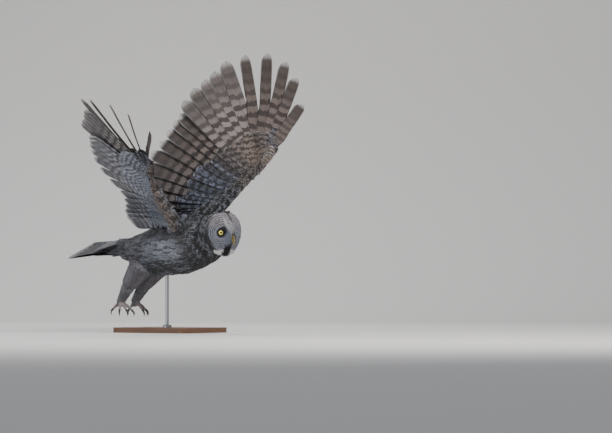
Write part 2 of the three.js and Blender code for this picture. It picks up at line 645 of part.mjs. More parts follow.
function foot(side) {
  const sign = side === 'left' ? 1 : -1;
  const at = v3(LEG[side].ankle);
  const below = along(at, [DOWN, 4]);
  return { at, toes: TOE_TURNS.map((turn, i) => toe(below, sign * turn, TOE_LENGTHS[i])) };
}

const toeShape = (t) => limb([t.start, t.middle, t.end], [TOE_RADIUS + 2, TOE_RADIUS - 1], 6);

// Claw: starts just past the end of its toe, hooks down and comes to a point
function claw(t) {
  const onward = t.end.clone().sub(t.middle).normalize();
  const bent = CLAW_BEND.map(([ahead, down]) => (
    along(t.end, [t.ahead, ahead * CLAW_LENGTH], [DOWN, down * CLAW_LENGTH])
  ));
  return limb([along(t.end, [onward, CLAW_START]), ...bent], CLAW_RADIUS, 6);
}

const thighShape = (side, extra = 0) => {
  const { hip, hock } = LEG[side];
  return limb([hip, v3(hip).lerp(v3(hock), 0.5), hock], THIGH_RADIUS.map((r) => r + extra), 12);
};

const shankShape = (side, extra = 0) => {
  const { hock, ankle } = LEG[side];
  return limb([hock, v3(hock).lerp(v3(ankle), 0.5), ankle], SHANK_RADIUS.map((r) => r + extra), 10);
};

const material = (color, roughness = 0.85, metalness = 0) => (
  new THREE.MeshStandardMaterial({ color, roughness, metalness })
);
const model = new THREE.Group();

function place(name, body, mat) {
  const { vertProperties, triVerts, numProp } = body.getMesh();
  const positions = new Float32Array((vertProperties.length / numProp) * 3);
  for (let i = 0; i < positions.length / 3; i++) {
    for (let c = 0; c < 3; c++) positions[3 * i + c] = vertProperties[numProp * i + c];
  }
  const geometry = new THREE.BufferGeometry();
  geometry.setAttribute('position', new THREE.BufferAttribute(positions, 3));
  geometry.setIndex(new THREE.BufferAttribute(new Uint32Array(triVerts), 1));
  geometry.computeVertexNormals();
  const mesh = new THREE.Mesh(geometry, mat);
  mesh.name = name;
  model.add(mesh);
  return mesh;
}

const plumage = material(COLOURS.plumage);
const bodySolid = trunk();
const bodyClear = trunk(GAP);
const headSolid = headShape();
const headClear = headShape(GAP);

// Torso and neck are one shape parted by a thin cut; the neck wraps the back of the head
const halfGap = GAP / 2;
const tailCut = TRUNK_BACK_END[0] + TAIL_PARTING;
const torso = bodySolid.trimByPlane([-1, 0, 0], -(NECK_X - halfGap)).trimByPlane([1, 0, 0], tailCut);
const neck = bodySolid.trimByPlane([1, 0, 0], NECK_X + halfGap).subtract(headClear);

place('torso', torso, plumage);
place('neck', largestBody(neck), plumage);

const eyes = { left: ball(eyeCentre(1), EYE_RADIUS), right: ball(eyeCentre(-1), EYE_RADIUS) };
const eyeHollows = fuse([ball(eyeCentre(1), EYE_RADIUS + GAP), ball(eyeCentre(-1), EYE_RADIUS + GAP)]);
const billClear = fuse([billShape(UPPER_BILL, GAP), billShape(LOWER_BILL, GAP)]);
const head = largestBody(headSolid.add(lid(1)).add(lid(-1)).subtract(eyeHollows).subtract(billClear));
place('head', head, material(COLOURS.face));
place('eye_left', eyes.left, material(COLOURS.eye, 0.15));
place('eye_right', eyes.right, material(COLOURS.eye, 0.15));
const nostrils = [1, -1].map((sign) => {
  const at = onHead(FACE_DEPTH + BILL_FORWARD + 4, sign * 0.4 * BILL_WIDTH, BILL_TOP - NOSTRIL_DROP);
  return ball(at, NOSTRIL_RADIUS, 8, 6);
});
const horn = material(COLOURS.bill, 0.4);
place('bill_upper', largestBody(billShape(UPPER_BILL).subtract(fuse(nostrils))), horn);
place('bill_lower', largestBody(billShape(LOWER_BILL).subtract(billShape(UPPER_BILL, GAP))), horn);

const tail = tailShape();
const tailClearTrunk = bodyClear.trimByPlane([1, 0, 0], tailCut - GAP);
place('tail', largestBody(tail.subtract(tailClearTrunk)), plumage);

for (const side of ['left', 'right']) {
  const { wing, body } = wingWhole(side);
  const clear = body.subtract(bodyClear).subtract(headClear);
  const parting = wing.inHand(0.5 * (PRIMARY_ANGLE[0] + SECONDARY_START) * wing.fan);
  const normal = new THREE.Vector3().crossVectors(parting, wing.upper).normalize();
  if (normal.dot(wing.handEnd.clone().sub(wing.wrist)) < 0) normal.negate();
  const offset = normal.dot(wing.wrist) + HAND_PARTING;
  const hand = clear.trimByPlane(normal.toArray(), offset + halfGap);
  const arm = clear.trimByPlane(normal.clone().negate().toArray(), -(offset - halfGap));
  place(`wing_${side}_hand`, largestBody(hand), plumage);
  place(`wing_${side}_arm`, largestBody(arm), plumage);

  const outward = side === 'left' ? 1 : -1;
  const thigh = thighShape(side).subtract(bodyClear).trimByPlane([0, outward, 0], THIGH_CLEFT);
  place(`thigh_${side}`, largestBody(thigh), plumage);
  const shank = shankShape(side).subtract(thighShape(side, GAP));
  place(`shank_${side}`, largestBody(shank), material(COLOURS.foot));
  const { at, toes } = foot(side);
  const pads = [ball(along(at, [DOWN, HEEL.down]), HEEL.radius, 12, 8), ...toes.map(toeShape)];
  place(`foot_${side}`, largestBody(fuse(pads).subtract(shankShape(side, GAP))), material(COLOURS.foot));
  toes.forEach((t, i) => {
    place(`claw_${side}_${i + 1}`, largestBody(claw(t)), material(COLOURS.claw, 0.35));
  });
}

// Stand
const outline = new THREE.Shape();
const halfLength = BASE_LENGTH / 2;
const halfWidth = BASE_WIDTH / 2;
outline.absarc(halfLength - BASE_CORNER, halfWidth - BASE_CORNER, BASE_CORNER, 0, Math.PI / 2);
outline.absarc(-halfLength + BASE_CORNER, halfWidth - BASE_CORNER, BASE_CORNER, Math.PI / 2, Math.PI);
outline.absarc(-halfLength + BASE_CORNER, -halfWidth + BASE_CORNER, BASE_CORNER, Math.PI, 1.5 * Math.PI);
outline.absarc(halfLength - BASE_CORNER, -halfWidth + BASE_CORNER, BASE_CORNER, 1.5 * Math.PI, 2 * Math.PI);
const boardSettings = { depth: BASE_THICK, bevelEnabled: false, curveSegments: 6 };
const baseGeometry = new THREE.ExtrudeGeometry(outline, boardSettings);
const baseMesh = new THREE.Mesh(baseGeometry, material(COLOURS.wood, 0.5));
baseMesh.name = 'stand_base';
model.add(baseMesh);

const collarTop = BASE_THICK + COLLAR_HEIGHT;
const rodProfile = [
  [0, BASE_THICK + GAP],
  [COLLAR_RADIUS, BASE_THICK + GAP],
  [COLLAR_RADIUS, collarTop - COLLAR_BEVEL],
  [COLLAR_RADIUS - COLLAR_BEVEL, collarTop],
  [ROD_RADIUS, collarTop],
  [ROD_RADIUS, ROD_TOP],
  [0, ROD_TOP],
];
const rod = new THREE.LatheGeometry(rodProfile.map(([r, z]) => new THREE.Vector2(r, z)), ROD_SIDES);
rod.rotateX(Math.PI / 2);
rod.translate(ROD_X, 0, 0);
const rodSolid = solidFromGeometry(rod).subtract(bodyClear);
place('stand_rod', largestBody(rodSolid), material(COLOURS.steel, 0.3, 0.9));

export default model;
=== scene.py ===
# %% [markdown]
# # Great grey owl taking off
# A life-size still model of a great grey owl on a plain display stand. One unit is a metre, X is the
# way the bird flies, Y its left and Z up. First come the imports and the imported frame.

# %% load the frame
import math

import bpy
import numpy as np
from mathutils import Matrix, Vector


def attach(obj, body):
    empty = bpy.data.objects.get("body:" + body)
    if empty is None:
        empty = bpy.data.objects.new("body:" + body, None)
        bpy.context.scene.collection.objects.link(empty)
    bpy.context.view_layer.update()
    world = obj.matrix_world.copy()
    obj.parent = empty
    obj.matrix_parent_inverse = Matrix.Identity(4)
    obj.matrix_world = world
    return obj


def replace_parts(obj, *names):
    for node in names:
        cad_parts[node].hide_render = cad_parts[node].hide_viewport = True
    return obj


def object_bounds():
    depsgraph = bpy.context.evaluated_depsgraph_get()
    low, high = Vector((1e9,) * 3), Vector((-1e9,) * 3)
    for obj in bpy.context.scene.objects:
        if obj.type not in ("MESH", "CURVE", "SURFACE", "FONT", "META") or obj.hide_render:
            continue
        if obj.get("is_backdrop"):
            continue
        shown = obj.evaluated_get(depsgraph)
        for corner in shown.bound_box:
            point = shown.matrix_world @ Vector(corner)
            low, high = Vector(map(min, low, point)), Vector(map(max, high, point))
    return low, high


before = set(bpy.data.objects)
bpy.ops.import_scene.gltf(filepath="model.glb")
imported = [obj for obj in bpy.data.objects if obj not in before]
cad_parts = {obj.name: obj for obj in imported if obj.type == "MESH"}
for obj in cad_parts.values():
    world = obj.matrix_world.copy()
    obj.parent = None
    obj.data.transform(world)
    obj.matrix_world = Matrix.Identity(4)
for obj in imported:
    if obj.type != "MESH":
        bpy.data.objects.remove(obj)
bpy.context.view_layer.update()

# %% [markdown]
# The same named sizes as the solids, in millimetres, so that feathers and skin sit where the solids
# are. The wing's joints and directions are what the pose is made of.

# %% sizes
MM = 0.001
TRUNK = [
    (-214, 308, 266, 26), (-178, 322, 250, 43), (-125, 340, 230, 63), (-62, 362, 206, 80),
    (8, 380, 196, 88), (78, 388, 202, 88), (140, 386, 222, 80), (186, 372, 244, 68), (212, 350, 264, 46),
]
HEAD = np.array([217.0, -13.0, 351.0])
FACE_TURN = math.radians(-10)
DISC_WIDE, DISC_HIGH, CHIN = 83.0, 68.0, 88.0
FACE_DEPTH, HEAD_BACK, FACE_EDGE = 60.0, 66.0, 5.0
FACE_CURVE_WIDE, FACE_CURVE_HIGH, RIM_FLARE = 29.0, 17.0, 4.0
RIDGE_HEIGHT, RIDGE_WIDE, RIDGE_REACH, RIDGE_UP = 26.0, 8.0, 42.0, -10.0
BOWL_DEPTH, BOWL_WIDE, BOWL_OUTWARD = 16.0, 20.0, 4.0
EYE_SIDE, EYE_UP, EYE_RADIUS, EYE_DEPTH = 26.0, -6.0, 12.0, 36.0
BILL_TOP, BILL_LENGTH, BILL_WIDTH, BILL_FORWARD = -20.0, 30.0, 15.0, 12.0
SHOULDER = {1: (78, 50, 352), -1: (78, -50, 352)}
WRIST = {1: (226, 176, 556), -1: (80, -236, 538)}
HAND_AXIS = {1: (-0.186, 0.356, 0.916), -1: (0.0, -0.83, 0.56)}
HAND_CHORD = {1: (-0.854, -0.52, 0.029), -1: (-1, 0.03, 0.03)}
ARM_CHORD = {1: (-0.90, -0.42, 0.02), -1: (-0.86, 0.50, 0.04)}
BODY_CHORD = {1: (-0.99, 0.04, 0.10), -1: (-0.99, -0.04, 0.02)}
FAN = {1: 1.0, -1: 0.34}
FINGER_TWIST = {1: 0.0, -1: math.radians(52)}  # on the near wing the last primary is seen edge on
INNER_SCALE = {1: 1.0, -1: 0.87}
PRIMARY_ANGLE = [44, 37, 30.5, 25.5, 19.5, 10.5, 0, -9.5, -18, -33]
PRIMARY_LENGTH = [352, 362, 371, 382, 398, 402, 388, 358, 300, 205]
SECONDARY_LENGTH = {1: [334, 298, 224], -1: [270, 228, 168]}
SECONDARIES = 13
MANUS_LENGTH, MANUS_ANGLE, ELBOW_BACK, ELBOW_PLACE = 100.0, -40.0, 34.0, 0.62
SHINGLE = math.radians(4.5)
TAIL_ROOT = np.array([-196.0, 0.0, 291.0])
TAIL_DROP, TAIL_FAN, TAIL_ROLL, TAIL_ROOF = math.radians(7), math.radians(10), math.radians(24), 0.42
LEGS = {
    1: ((-78, 40, 236), (-134, 37, 172), (-176, 32, 106)),
    -1: ((-88, -40, 236), (-144, -37, 172), (-190, -32, 106)),
}
TOE_LENGTHS, TOE_TURNS = [42, 46, 40, 30], [22, -14, 58, 168]
TOE_RADIUS, CLAW_LENGTH = 7.0, 24.0
COAT, HEAD_COAT, WING_COAT = 6.0, 4.0, 1.8  # depth of the small feathers over the flesh
rng = np.random.default_rng(5)


def unit(v):
    v = np.asarray(v, float)
    return v / np.maximum(np.linalg.norm(v, axis=-1, keepdims=True), 1e-9)


def smooth(t):
    t = np.clip(t, 0, 1)
    return t * t * (3 - 2 * t)


def mix(a, b, t):
    return np.asarray(a, float) * (1 - t) + np.asarray(b, float) * t


def between(values, t):
    return np.interp(t, np.linspace(0, 1, len(values)), values)


def srgb(*c):
    return np.array([x / 12.92 if x <= 0.04045 else ((x + 0.055) / 1.055) ** 2.4 for x in c])


FACE_OUT = np.array([math.cos(FACE_TURN), math.sin(FACE_TURN), 0])
FACE_LEFT = np.array([-math.sin(FACE_TURN), math.cos(FACE_TURN), 0])
UP = np.array([0.0, 0.0, 1.0])


def on_head(out, left, up):
    out, left, up = np.broadcast_arrays(out, left, up)
    return HEAD + out[..., None] * FACE_OUT + left[..., None] * FACE_LEFT + up[..., None] * UP


print("sizes ready")

# %% [markdown]
# The photo is taken from a little in front of the bird's right side with a long lens, so the camera
# stands 25 metres away and level.

# %% camera
VIEW_TURN = math.radians(36)
CAMERA_RIGHT, CAMERA_HIGH, CAMERA_BACK, LENS = 0.4692, 0.4005, 25.0, 426.3
RIGHT = np.array([math.cos(VIEW_TURN), math.sin(VIEW_TURN), 0])
AWAY = np.array([-math.sin(VIEW_TURN), math.cos(VIEW_TURN), 0])
camera = bpy.data.objects.new("camera", bpy.data.cameras.new("camera"))
bpy.context.scene.collection.objects.link(camera)
camera.location = RIGHT * CAMERA_RIGHT + UP * CAMERA_HIGH - AWAY * CAMERA_BACK
camera.rotation_euler = (math.pi / 2, 0, VIEW_TURN)
camera.data.lens = LENS
camera.data.sensor_width = 36
bpy.context.scene.camera = camera
print("camera", [round(float(x), 2) for x in camera.location])

# %% [markdown]
# A pale floor, under the bird and the camera, sweeps up into a wall behind the bird.

# %% floor


def make_object(name, points, faces, shade=True):
    mesh = bpy.data.meshes.new(name)
    mesh.from_pydata([tuple(p) for p in points], [], [tuple(int(i) for i in f) for f in faces])
    mesh.validate()
    made = bpy.data.objects.new(name, mesh)
    bpy.context.scene.collection.objects.link(made)
    if shade:
        mesh.polygons.foreach_set("use_smooth", [True] * len(mesh.polygons))
    return made


def plain_material(name, colour, roughness, metallic=0.0, **more):
    material = bpy.data.materials.new(name)
    material.use_nodes = True
    shader = material.node_tree.nodes["Principled BSDF"]
    shader.inputs["Base Color"].default_value = (*srgb(*colour), 1)
    shader.inputs["Roughness"].default_value = roughness
    shader.inputs["Metallic"].default_value = metallic
    for key, value in more.items():
        shader.inputs[key.replace("_", " ")].default_value = value
    return material


FLOOR_FRONT, FLOOR_BACK, FLOOR_HALF, FLOOR_SIDE = -26.0, 2.6, 9.0, 0.4
FLOOR_CURVE, WALL_TOP = 1.0, 7.0
profile = [(FLOOR_FRONT, 0.0), (FLOOR_BACK, 0.0)]
for i in range(9):
    turn = math.pi / 2 * i / 8
    profile.append((FLOOR_BACK + FLOOR_CURVE * math.sin(turn), FLOOR_CURVE * (1 - math.cos(turn))))
profile.append((FLOOR_BACK + FLOOR_CURVE, WALL_TOP))
points = []
for depth, height in profile:
    for across in (-FLOOR_HALF, FLOOR_HALF):
        points.append(RIGHT * (across + FLOOR_SIDE) + AWAY * depth + UP * height)
faces = [(2 * i, 2 * i + 1, 2 * i + 3, 2 * i + 2) for i in range(len(profile) - 1)]
floor = make_object("floor", points, faces)
floor.data.materials.append(plain_material("floor", (0.80, 0.79, 0.78), 0.9))
floor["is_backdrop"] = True
print("floor", len(points), "points")

# %% [markdown]
# A large soft key light stands high on the camera's side, a wide weak one fills the shadows from the
# bird's tail, and one behind lifts the edges of the feathers. The sky is an even pale grey.

# %% light


def area_light(name, place, target, size, power, colour=(1, 1, 1)):
    light = bpy.data.lights.new(name, "AREA")
    light.shape = "DISK"
    light.size = size
    light.energy = power
    light.color = colour
    lamp = bpy.data.objects.new(name, light)
    bpy.context.scene.collection.objects.link(lamp)
    lamp.location = place
    from_to = Vector(target) - Vector(place)
    lamp.rotation_euler = from_to.to_track_quat("-Z", "Y").to_euler()


middle = RIGHT * 0.05 + UP * 0.45
area_light("key light", middle + RIGHT * 1.6 - AWAY * 2.6 + UP * 2.4, middle, 1.6, 150, (1, 0.985, 0.96))
area_light("fill light", middle - RIGHT * 2.6 - AWAY * 2.0 + UP * 0.8, middle, 3.0, 55, (0.95, 0.97, 1))
area_light("back light", middle - RIGHT * 0.6 + AWAY * 2.0 + UP * 2.4, middle, 1.6, 70)
world = bpy.data.worlds.new("studio")
bpy.context.scene.world = world
world.use_nodes = True
world.node_tree.nodes["Background"].inputs["Color"].default_value = (0.80, 0.84, 0.9, 1)
world.node_tree.nodes["Background"].inputs["Strength"].default_value = 0.55
print(len(bpy.data.lights), "lights")

# %% [markdown]
# One plumage material serves every feather. The map named feather runs across a vane from 0 to 1 and
# along it from root to tip. Three colour attributes say how a feather is marked: its pale ground, its
# dark markings, and in `marks` how many bars it has, where they start, how strong they are and how
# pale its edge is. Fine ridges along the barbs come from the same map, as bumps and as painted shade:
# the colour is lighter on each ridge and darker in the groove beside it.

# %% plumage material


class Graph:
    """Short way to write the arithmetic of a shader."""

    def __init__(self, material):
        self.tree = material.node_tree

    def node(self, kind, **settings):
        made = self.tree.nodes.new(kind)
        for key, value in settings.items():
            setattr(made, key, value)
        return made

    def join(self, source, socket):
        self.tree.links.new(source, socket)

    def math(self, operation, a, b=0.0, c=0.0, clamp=False):
        made = self.node("ShaderNodeMath", operation=operation, use_clamp=clamp)
        for socket, value in zip(made.inputs, (a, b, c)):
            if hasattr(value, "links"):
                self.join(value, socket)
            else:
                socket.default_value = value
        return made.outputs[0]

    def step(self, value, low, high):
        made = self.node("ShaderNodeMapRange", interpolation_type="SMOOTHSTEP")
        self.join(value, made.inputs["Value"])
        made.inputs["From Min"].default_value = low
        made.inputs["From Max"].default_value = high
        return made.outputs["Result"]

    def blend(self, amount, a, b):
        made = self.node("ShaderNodeMix", data_type="RGBA")
        self.join(amount, made.inputs["Factor"])
        for socket, value in ((made.inputs["A"], a), (made.inputs["B"], b)):
            if hasattr(value, "links"):
                self.join(value, socket)
            else:
                socket.default_value = (*value, 1)
        return made.outputs["Result"]


BAR_SCALE = 20.0  # the marks hold the number of bars divided by this, so that it stays under 1


def feather_material(name, barb_pitch, ridge):
    material = bpy.data.materials.new(name)
    material.use_nodes = True
    g = Graph(material)
    shader = material.node_tree.nodes["Principled BSDF"]
    ground = g.node("ShaderNodeAttribute", attribute_name="ground").outputs["Color"]
    dark = g.node("ShaderNodeAttribute", attribute_name="dark").outputs["Color"]
    marks = g.node("ShaderNodeAttribute", attribute_name="marks")
    split = g.node("ShaderNodeSeparateColor")
    g.join(marks.outputs["Color"], split.inputs[0])
    bars, phase, strength = split.outputs
    edge = marks.outputs["Alpha"]
    uv = g.node("ShaderNodeUVMap", uv_map="feather").outputs[0]
    place = g.node("ShaderNodeSeparateXYZ")
    g.join(uv, place.inputs[0])
    across = g.math("ABSOLUTE", g.math("MULTIPLY_ADD", place.outputs[0], 2.0, -1.0))
    along = place.outputs[1]
    where = g.node("ShaderNodeTexCoord").outputs["Object"]
    noise = g.node("ShaderNodeTexNoise")
    g.join(where, noise.inputs["Vector"])
    noise.inputs["Scale"].default_value = 95
    noise.inputs["Detail"].default_value = 3
    count = g.math("MULTIPLY", bars, BAR_SCALE)
    looseness = g.math("MULTIPLY_ADD", g.step(count, 5.8, 4.8), 1.3, 0.6)
    wobble = g.math("MULTIPLY", g.math("SUBTRACT", noise.outputs[0], 0.5), looseness)
    wave = g.math("ADD", g.math("ADD", g.math("MULTIPLY", along, count), phase), wobble)
    wave = g.math("SUBTRACT", wave, g.math("MULTIPLY", across, 0.16))
    wave = g.math("SINE", g.math("MULTIPLY", wave, 2 * math.pi))
    barred = g.math("MULTIPLY", g.step(wave, -0.25, 0.45), g.step(count, 0.5, 1.2))
    streak = g.math("MULTIPLY", g.step(across, 0.62, 0.12), g.step(count, 0.9, 0.4))
    long_vane = g.step(count, 6.2, 7.0)
    outer = g.math("MULTIPLY", g.step(along, 0.52, 0.86), long_vane)
    fade = g.math("MULTIPLY_ADD", outer, -0.55, 1.0)
    marked = g.math("MULTIPLY", g.math("MULTIPLY", g.math("MAXIMUM", barred, streak), strength), fade)
    dimmed = g.node("ShaderNodeVectorMath", operation="SCALE")
    g.join(ground, dimmed.inputs[0])
    g.join(g.math("MULTIPLY_ADD", outer, -0.52, 1.0), dimmed.inputs["Scale"])
    colour = g.blend(marked, dimmed.outputs[0], dark)
    near_tip = g.math("MAXIMUM", g.step(along, 0.70, 0.95), g.step(count, 5.5, 4.5))
    side_edge = g.math("MULTIPLY", g.step(across, 0.80, 0.98), near_tip)
    rim = g.math("MAXIMUM", side_edge, g.step(along, 0.925, 0.985))
    colour = g.blend(g.math("MULTIPLY", rim, edge), colour, srgb(0.86, 0.85, 0.84))
    shaft = g.math("MULTIPLY", g.step(across, 0.055, 0.03), g.step(count, 1.5, 2.5))
    colour = g.blend(g.math("MULTIPLY", shaft, 0.75), colour, srgb(0.33, 0.27, 0.22))
    slant = g.math("MULTIPLY", across, barb_pitch * 0.16)
    barb = g.math("SUBTRACT", g.math("MULTIPLY", along, barb_pitch), slant)
    barb = g.math("ADD", barb, g.math("MULTIPLY", wobble, 2.0))
    barb = g.math("SINE", g.math("MULTIPLY", barb, 2 * math.pi))
    # The colour is mottled at random and, as painted shade, lighter on the barbs' ridges and darker in their
    # grooves.
    mottle_and_groove_shade = g.math("MULTIPLY_ADD", barb, 0.07, g.math("MULTIPLY_ADD", noise.outputs[0], 0.35, 0.70))
    shade = g.node("ShaderNodeVectorMath", operation="SCALE")
    g.join(colour, shade.inputs[0])
    g.join(mottle_and_groove_shade, shade.inputs["Scale"])
    g.join(shade.outputs[0], shader.inputs["Base Color"])
    bump = g.node("ShaderNodeBump")
    bump.inputs["Strength"].default_value = ridge
    bump.inputs["Distance"].default_value = 0.0006
    g.join(barb, bump.inputs["Height"])
    g.join(bump.outputs[0], shader.inputs["Normal"])
    shader.inputs["Roughness"].default_value = 0.78
    shader.inputs["Specular IOR Level"].default_value = 0.25
    shader.inputs["Sheen Weight"].default_value = 0.15
    return material


vane_material = feather_material("vanes", 150, 0.5)
tuft_material = feather_material("small feathers", 9, 0.35)
print("materials", len(bpy.data.materials))

# %% [markdown]
# The flesh under the feathers is built from rings of points joined into closed solids: trunk, head,
# legs, toes, the fleshy part of each wing and of the tail.
# They overlap, and are then fused into one skin without seams that lies inside the solids by the
# depth of the coat.

# %% flesh rings
flesh_points, flesh_faces = [], []


def loft(rings, first, last, points=flesh_points, faces=flesh_faces):
    base = len(points)
    sides = len(rings[0])
    for ring in rings:
        points.extend(ring)
    for r in range(len(rings) - 1):
        for i in range(sides):
            a = base + r * sides + i
            b = base + r * sides + (i + 1) % sides
            faces.append((a, b, b + sides, a + sides))
    start = len(points)
    points.extend([np.asarray(first, float), np.asarray(last, float)])
    end_ring = base + (len(rings) - 1) * sides
    for i in range(sides):
        j = (i + 1) % sides
        faces.append((start, base + j, base + i))
        faces.append((start + 1, end_ring + i, end_ring + j))


def ellipse(centre, side, wide, up, high, count, low=None):
    low = high if low is None else low
    turn = np.linspace(0, 2 * np.pi, count, endpoint=False)
    rise = np.sin(turn)
    tall = np.where(rise > 0, high, low) * rise
    return list(np.asarray(centre, float) + np.outer(np.cos(turn) * wide, side) + np.outer(tall, up))


def trunk_at(x):
    stations = np.array(TRUNK, float)
    return [np.interp(x, stations[:, 0], stations[:, k]) for k in (1, 2, 3)]


print("ring tools ready")

# %% [markdown]
# The trunk is a row of oval rings from the rump to the neck, each widest a little above its middle.

# %% trunk
rings = []
for x in np.linspace(TRUNK[0][0], TRUNK[-1][0], 34):
    top, bottom, half = trunk_at(x)
    z = bottom + 0.56 * (top - bottom)
    inset = COAT * (1 if x > -150 else 0.6)
    rings.append(ellipse((x, 0, z), (0, 1, 0), half - inset, UP, top - z - inset, 36, z - bottom - inset))
loft(rings, (-219, 0, 287), (217, 0, 308))
print("trunk", len(flesh_points), "points")

# %% [markdown]
# The head is a round body behind a wide facial disc. The disc is a dome with a bowl round each eye
# and a ridge down the middle, and its rim turns out a little.

# %% head


def hill(distance_squared, reach):
    return np.exp(-distance_squared / (2 * reach * reach))


def face_relief(across, up, rim):
    """How far the face stands out: a dome with a bowl round each eye and a ridge down the middle."""
    dome = FACE_DEPTH - FACE_CURVE_WIDE * (across / DISC_WIDE) ** 2
    dome = dome - FACE_CURVE_HIGH * (up / DISC_HIGH) ** 2
    middle = EYE_SIDE + BOWL_OUTWARD
    bowls = sum(hill((across - side * middle) ** 2 + (up - EYE_UP) ** 2, BOWL_WIDE) for side in (1, -1))
    crest = RIDGE_HEIGHT * hill(across**2, RIDGE_WIDE) * hill((up - RIDGE_UP) ** 2, RIDGE_REACH)
    return dome - BOWL_DEPTH * bowls + crest * (1 - rim**4) + RIM_FLARE * rim**6


rings = []
turns = np.linspace(0, 2 * np.pi, 56, endpoint=False)
wide = (DISC_WIDE - HEAD_COAT) * np.cos(turns) * (1 - 0.06 * np.abs(np.sin(turns)))
high = np.where(turns > np.pi, CHIN - HEAD_COAT, DISC_HIGH - HEAD_COAT) * np.sin(turns)
for rim in (0.08, 0.16, 0.24, 0.32, 0.4, 0.48, 0.56, 0.64, 0.72, 0.8, 0.87, 0.93, 0.97, 1.0):
    fall = FACE_EDGE if rim == 1.0 else 0
    depth = face_relief(rim * wide, rim * high, rim) - fall - HEAD_COAT
    rings.append(list(on_head(depth, rim * wide, rim * high)))
edge_depth = face_relief(wide, high, 1.0) - FACE_EDGE
for turn in (6, 14, 22, 32, 42, 52, 62, 72, 80):
    shrink = math.cos(math.radians(turn)) ** 0.85
    back = math.sin(math.radians(turn)) * (HEAD_BACK - HEAD_COAT)
    depth = mix(edge_depth, -back, smooth(turn / 40))
    rings.append(list(on_head(depth, wide * shrink, high * shrink)))
middle_depth = face_relief(0.0, 0.0, 0.0) - HEAD_COAT
loft(rings, on_head(middle_depth, 0, 0), on_head(HEAD_COAT - HEAD_BACK, 0, 2))
print("head", len(flesh_points), "points")

# %% [markdown]
# A limb follows its stations with round rings. The legs hang down and back, and four toes spread
# from each ankle and droop.

# %% legs


def limb(stations, radii, count, inset, points=flesh_points, faces=flesh_faces):
    stations = np.array(stations, float)
    rings = []
    steps = 10
    for s in range(steps + 1):
        t = s / steps
        at = np.array([between(stations[:, k], t) for k in range(3)])
        ahead = np.array([between(stations[:, k], min(1, t + 0.1)) for k in range(3)])
        behind = np.array([between(stations[:, k], max(0, t - 0.1)) for k in range(3)])
        tangent = unit(ahead - behind)
        side = np.cross(UP, tangent)
        side = unit(side) if np.linalg.norm(side) > 0.2 else np.array([0, 1.0, 0])
        normal = np.cross(tangent, side)
        radius = max(0.3, between(radii, t) - inset)
        rings.append(ellipse(at, side, radius, normal, radius, count))
    first = stations[0] - unit(stations[1] - stations[0]) * radii[0] * 0.3
    last = stations[-1] + unit(stations[-1] - stations[-2]) * radii[-1] * 0.3
    loft(rings, first, last, points, faces)


DOWN = -UP


def toe_line(sign, i):
    ankle = np.array(LEGS[sign][2], float) + DOWN * 4
    heading = math.radians(sign * TOE_TURNS[i])
    ahead = np.array([math.cos(heading), math.sin(heading), 0])
    length = TOE_LENGTHS[i]
    middle_joint = ankle + ahead * 0.55 * length + DOWN * 10
    end = ankle + ahead * 0.92 * length + DOWN * (10 + 0.34 * length)
    return ankle + ahead * 4, middle_joint, end, ahead


for sign in (1, -1):
    hip, hock, ankle = LEGS[sign]
    limb([hip, hock], [48, 32], 24, 5)
    limb([hock, ankle], [28, 18], 20, 4)
    limb([np.array(ankle) + UP * 4, np.array(ankle) + DOWN * 16], [13, 9], 16, 2)
    for i in range(4):
        start, knuckle, end, ahead = toe_line(sign, i)
        limb([start, knuckle, end], [TOE_RADIUS + 2, TOE_RADIUS - 1], 14, 1.6)
print("legs", len(flesh_points), "points")

# %% [markdown]
# A wing is a line of bones with the flight feathers rooted along it. Each wing gives arrays of the
# feathers' roots, directions, upper sides and lengths, from the outermost primary to the innermost
# secondary, and rows of coverts are read from the same arrays at places in between.

# %% wing lines


